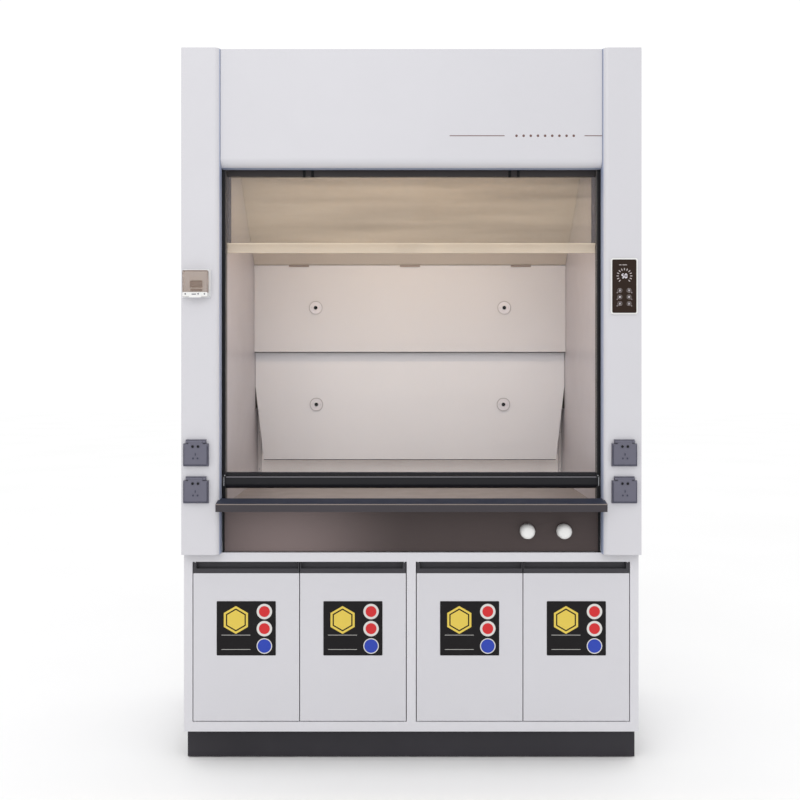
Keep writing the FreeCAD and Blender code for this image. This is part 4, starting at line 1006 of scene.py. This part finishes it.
COVER_THICK = 1.6
BACK_COVER_REACH = 365
BACK_COVER_HEIGHT = 1180
BACK_COVER_SIZE = (560, 520)
BACK_COVER_SCREWS = (262, 242)          # how far across and up, from the cover's centre
BACK_ROWS = range(760, 2300, 190)       # the screws along the back sheet's sides
BACK_ROW_REACH = 735
BACK_COLUMNS = range(-600, 601, 200)    # the screws along its top and its foot
BACK_TOP, BACK_FOOT = 2330, 715
SIDE_COVER = (-60, 1480, 420, 900)      # centre y, centre z, width, height
CATCHES = (-240, 120)
CATCH = [(0, 0), (9, 0), (9, 1.2), (7.6, 2.4), (0, 2.4)]
SIDE_ROWS = (760, 1060, 1900, 2240)
SIDE_ENDS = (SIDE_ROWS[0], SIDE_ROWS[-1])
SIDE_COLUMNS = (-300, 60, 380)
VENT_SLOTS = 9
VENT_LOW, VENT_STEP, VENT_WIDE = 1130, 13, 240
TOP_COLUMNS = range(-700, 701, 200)
TOP_SEAM = 40                           # where the front sheet of the top ends, along y
COLLAR_SCREWS = 8
COLLAR_SCREW_CIRCLE = 138


def wall_screws(shape, spots, axis, finish=0):
    """Button-head screws at points of a flat wall."""
    for spot in spots:
        screw(shape, spot, axis, 3.6, finish)


def back_covers():
    """Two lift-off service covers on the back sheet, with screws all round."""
    rear = box_mm("back_panel")[1][1]
    face = rear + COVER_THICK
    across, up = BACK_COVER_SCREWS
    shape = bmesh.new()
    for side in (-1, 1):
        x = side * BACK_COVER_REACH
        slab(shape, rounded(x, BACK_COVER_HEIGHT, *BACK_COVER_SIZE, 8), rear - 0.1, face, 0)
        wall_screws(shape, [(x + apart, face, BACK_COVER_HEIGHT + above)
                            for apart in (-across, 0, across) for above in (-up, up)], BACKWARD, 1)
    for z in BACK_ROWS:
        wall_screws(shape, [(side * BACK_ROW_REACH, rear, z) for side in (-1, 1)], BACKWARD, 1)
    for x in BACK_COLUMNS:
        wall_screws(shape, [(x, rear, BACK_TOP), (x, rear, BACK_FOOT)], BACKWARD, 1)
    piece("back_covers", shape, [white_coat, zinc], "hood", 0.5)


def side_cover(side, name):
    """A lift-off service cover on a side, with two quarter-turn catches and a vent."""
    face = side * box_mm("side_panels")[1][0]
    middle, height, wide, tall = SIDE_COVER
    shape = bmesh.new()
    slab(shape, rounded(middle, height, wide, tall, 10), 0, COVER_THICK, 0)
    # The catches' slots and the vent slots are dark slabs of painted shade.
    for y in CATCHES:
        turned(shape, (y, COVER_THICK, height), BACKWARD, CATCH, 28, 1)
        slab(shape, rounded(y, height, 2.2, 11, 0.9, 3), 3.9, 4.3, 2)
    for row in range(VENT_SLOTS):
        slab(shape, rounded(middle, VENT_LOW + VENT_STEP * row, VENT_WIDE, 4.2, 2.0, 4), 1.5, 2.1, 2)
    # The cover is drawn facing backwards, and then turned to face sideways.
    for vert in shape.verts:
        y, out, z = vert.co
        vert.co = (face + side * (out - 0.1), y, z)
    # The middle column has screws only above and below the cover.
    for z in SIDE_ROWS:
        for y in SIDE_COLUMNS:
            if z in SIDE_ENDS or y != SIDE_COLUMNS[1]:
                screw(shape, (face, y, z), (side, 0, 0), 3.4, 1)
    piece(f"side_cover_{name}", shape, [white_coat, zinc, gap_shade_black], "hood", 0.4)


def top_screws():
    """Screws round the top sheets and along the seam between them, clear of the collar."""
    low, high = box_mm("top_panel")
    collar_low, collar_high = box_mm("exhaust_collar")
    shape = bmesh.new()
    for y in (high[1] - 14, TOP_SEAM + 12, TOP_SEAM - 12, low[1] + 30):
        beside = collar_low[1] < y + 6 and y - 6 < collar_high[1]
        wall_screws(shape, [(x, y, high[2]) for x in TOP_COLUMNS
                            if not beside or abs(x) > collar_high[0] + 10], UPWARD, 0)
    piece("top_screws", shape, [zinc], "hood")


def collar_screws():
    """Eight screws in the duct collar's flange."""
    low, high = box_mm("exhaust_collar")
    x, y = (low[0] + high[0]) / 2, (low[1] + high[1]) / 2
    shape = bmesh.new()
    for step in range(COLLAR_SCREWS):
        angle = math.pi / 4 * step + math.pi / 8
        spot = (x + COLLAR_SCREW_CIRCLE * math.cos(angle), y + COLLAR_SCREW_CIRCLE * math.sin(angle),
                low[2] + 3)
        screw(shape, spot, UPWARD, 3.4)
    piece("collar_screws", shape, [zinc], "hood")


back_covers()
top_screws()
side_cover(-1, "left")
side_cover(1, "right")
collar_screws()

# ---- Stage, light and camera ----

FLOOR_REACH = 30


def floor_plane():
    """A wide pale floor that fades into the white behind."""
    mesh = bpy.data.meshes.new("floor")
    shape = bmesh.new()
    corners = [shape.verts.new((FLOOR_REACH * x, FLOOR_REACH * y, 0))
               for x, y in ((-1, -1), (1, -1), (1, 1), (-1, 1))]
    shape.faces.new(corners)
    shape.to_mesh(mesh)
    shape.free()
    floor = bpy.data.objects.new("floor", mesh)
    scene.collection.objects.link(floor)
    material, shader = shade("pale_floor", (0.97, 0.97, 0.97), 0.9)
    shader.inputs["Specular IOR Level"].default_value = 0.0
    tint(material, shader, (0.97, 0.97, 0.97), 0.01, noise(material, 0.8, 2.0))
    mesh.materials.append(material)


def soft_light(name, place, target, size, watts, colour):
    """A rectangular area light aimed at a point."""
    lamp = bpy.data.lights.new(name, "AREA")
    lamp.shape = "RECTANGLE"
    lamp.size = size[0]
    lamp.size_y = size[1]
    lamp.energy = watts
    lamp.color = colour
    holder = bpy.data.objects.new(name, lamp)
    holder.location = place
    holder.rotation_euler = (Vector(target) - Vector(place)).to_track_quat("-Z", "Y").to_euler()
    scene.collection.objects.link(holder)


def white_room(strength):
    """An even white world."""
    world = bpy.data.worlds.new("white_room")
    world.use_nodes = True
    background = world.node_tree.nodes["Background"]
    background.inputs["Color"].default_value = (1, 1, 1, 1)
    background.inputs["Strength"].default_value = strength
    scene.world = world


def camera():
    """The camera in front of the hood, level, facing the lower half of the chamber."""
    lens = bpy.data.cameras.new("camera")
    lens.lens = 41.8
    lens.sensor_width = 36
    lens.shift_x = -0.00425
    lens.shift_y = -0.03
    holder = bpy.data.objects.new("camera", lens)
    holder.location = (-0.026, -3.409, 1.280)
    holder.rotation_euler = (math.radians(90), 0, 0)
    scene.collection.objects.link(holder)
    scene.camera = holder


floor_plane()
white_room(1.03)
soft_light("key_light", (-1.0, -3.7, 3.6), (0, 0, 1.2), (2.6, 2.6), 22, (1.0, 0.99, 0.98))
camera()
scene.view_settings.view_transform = "Standard"

bpy.context.view_layer.update()
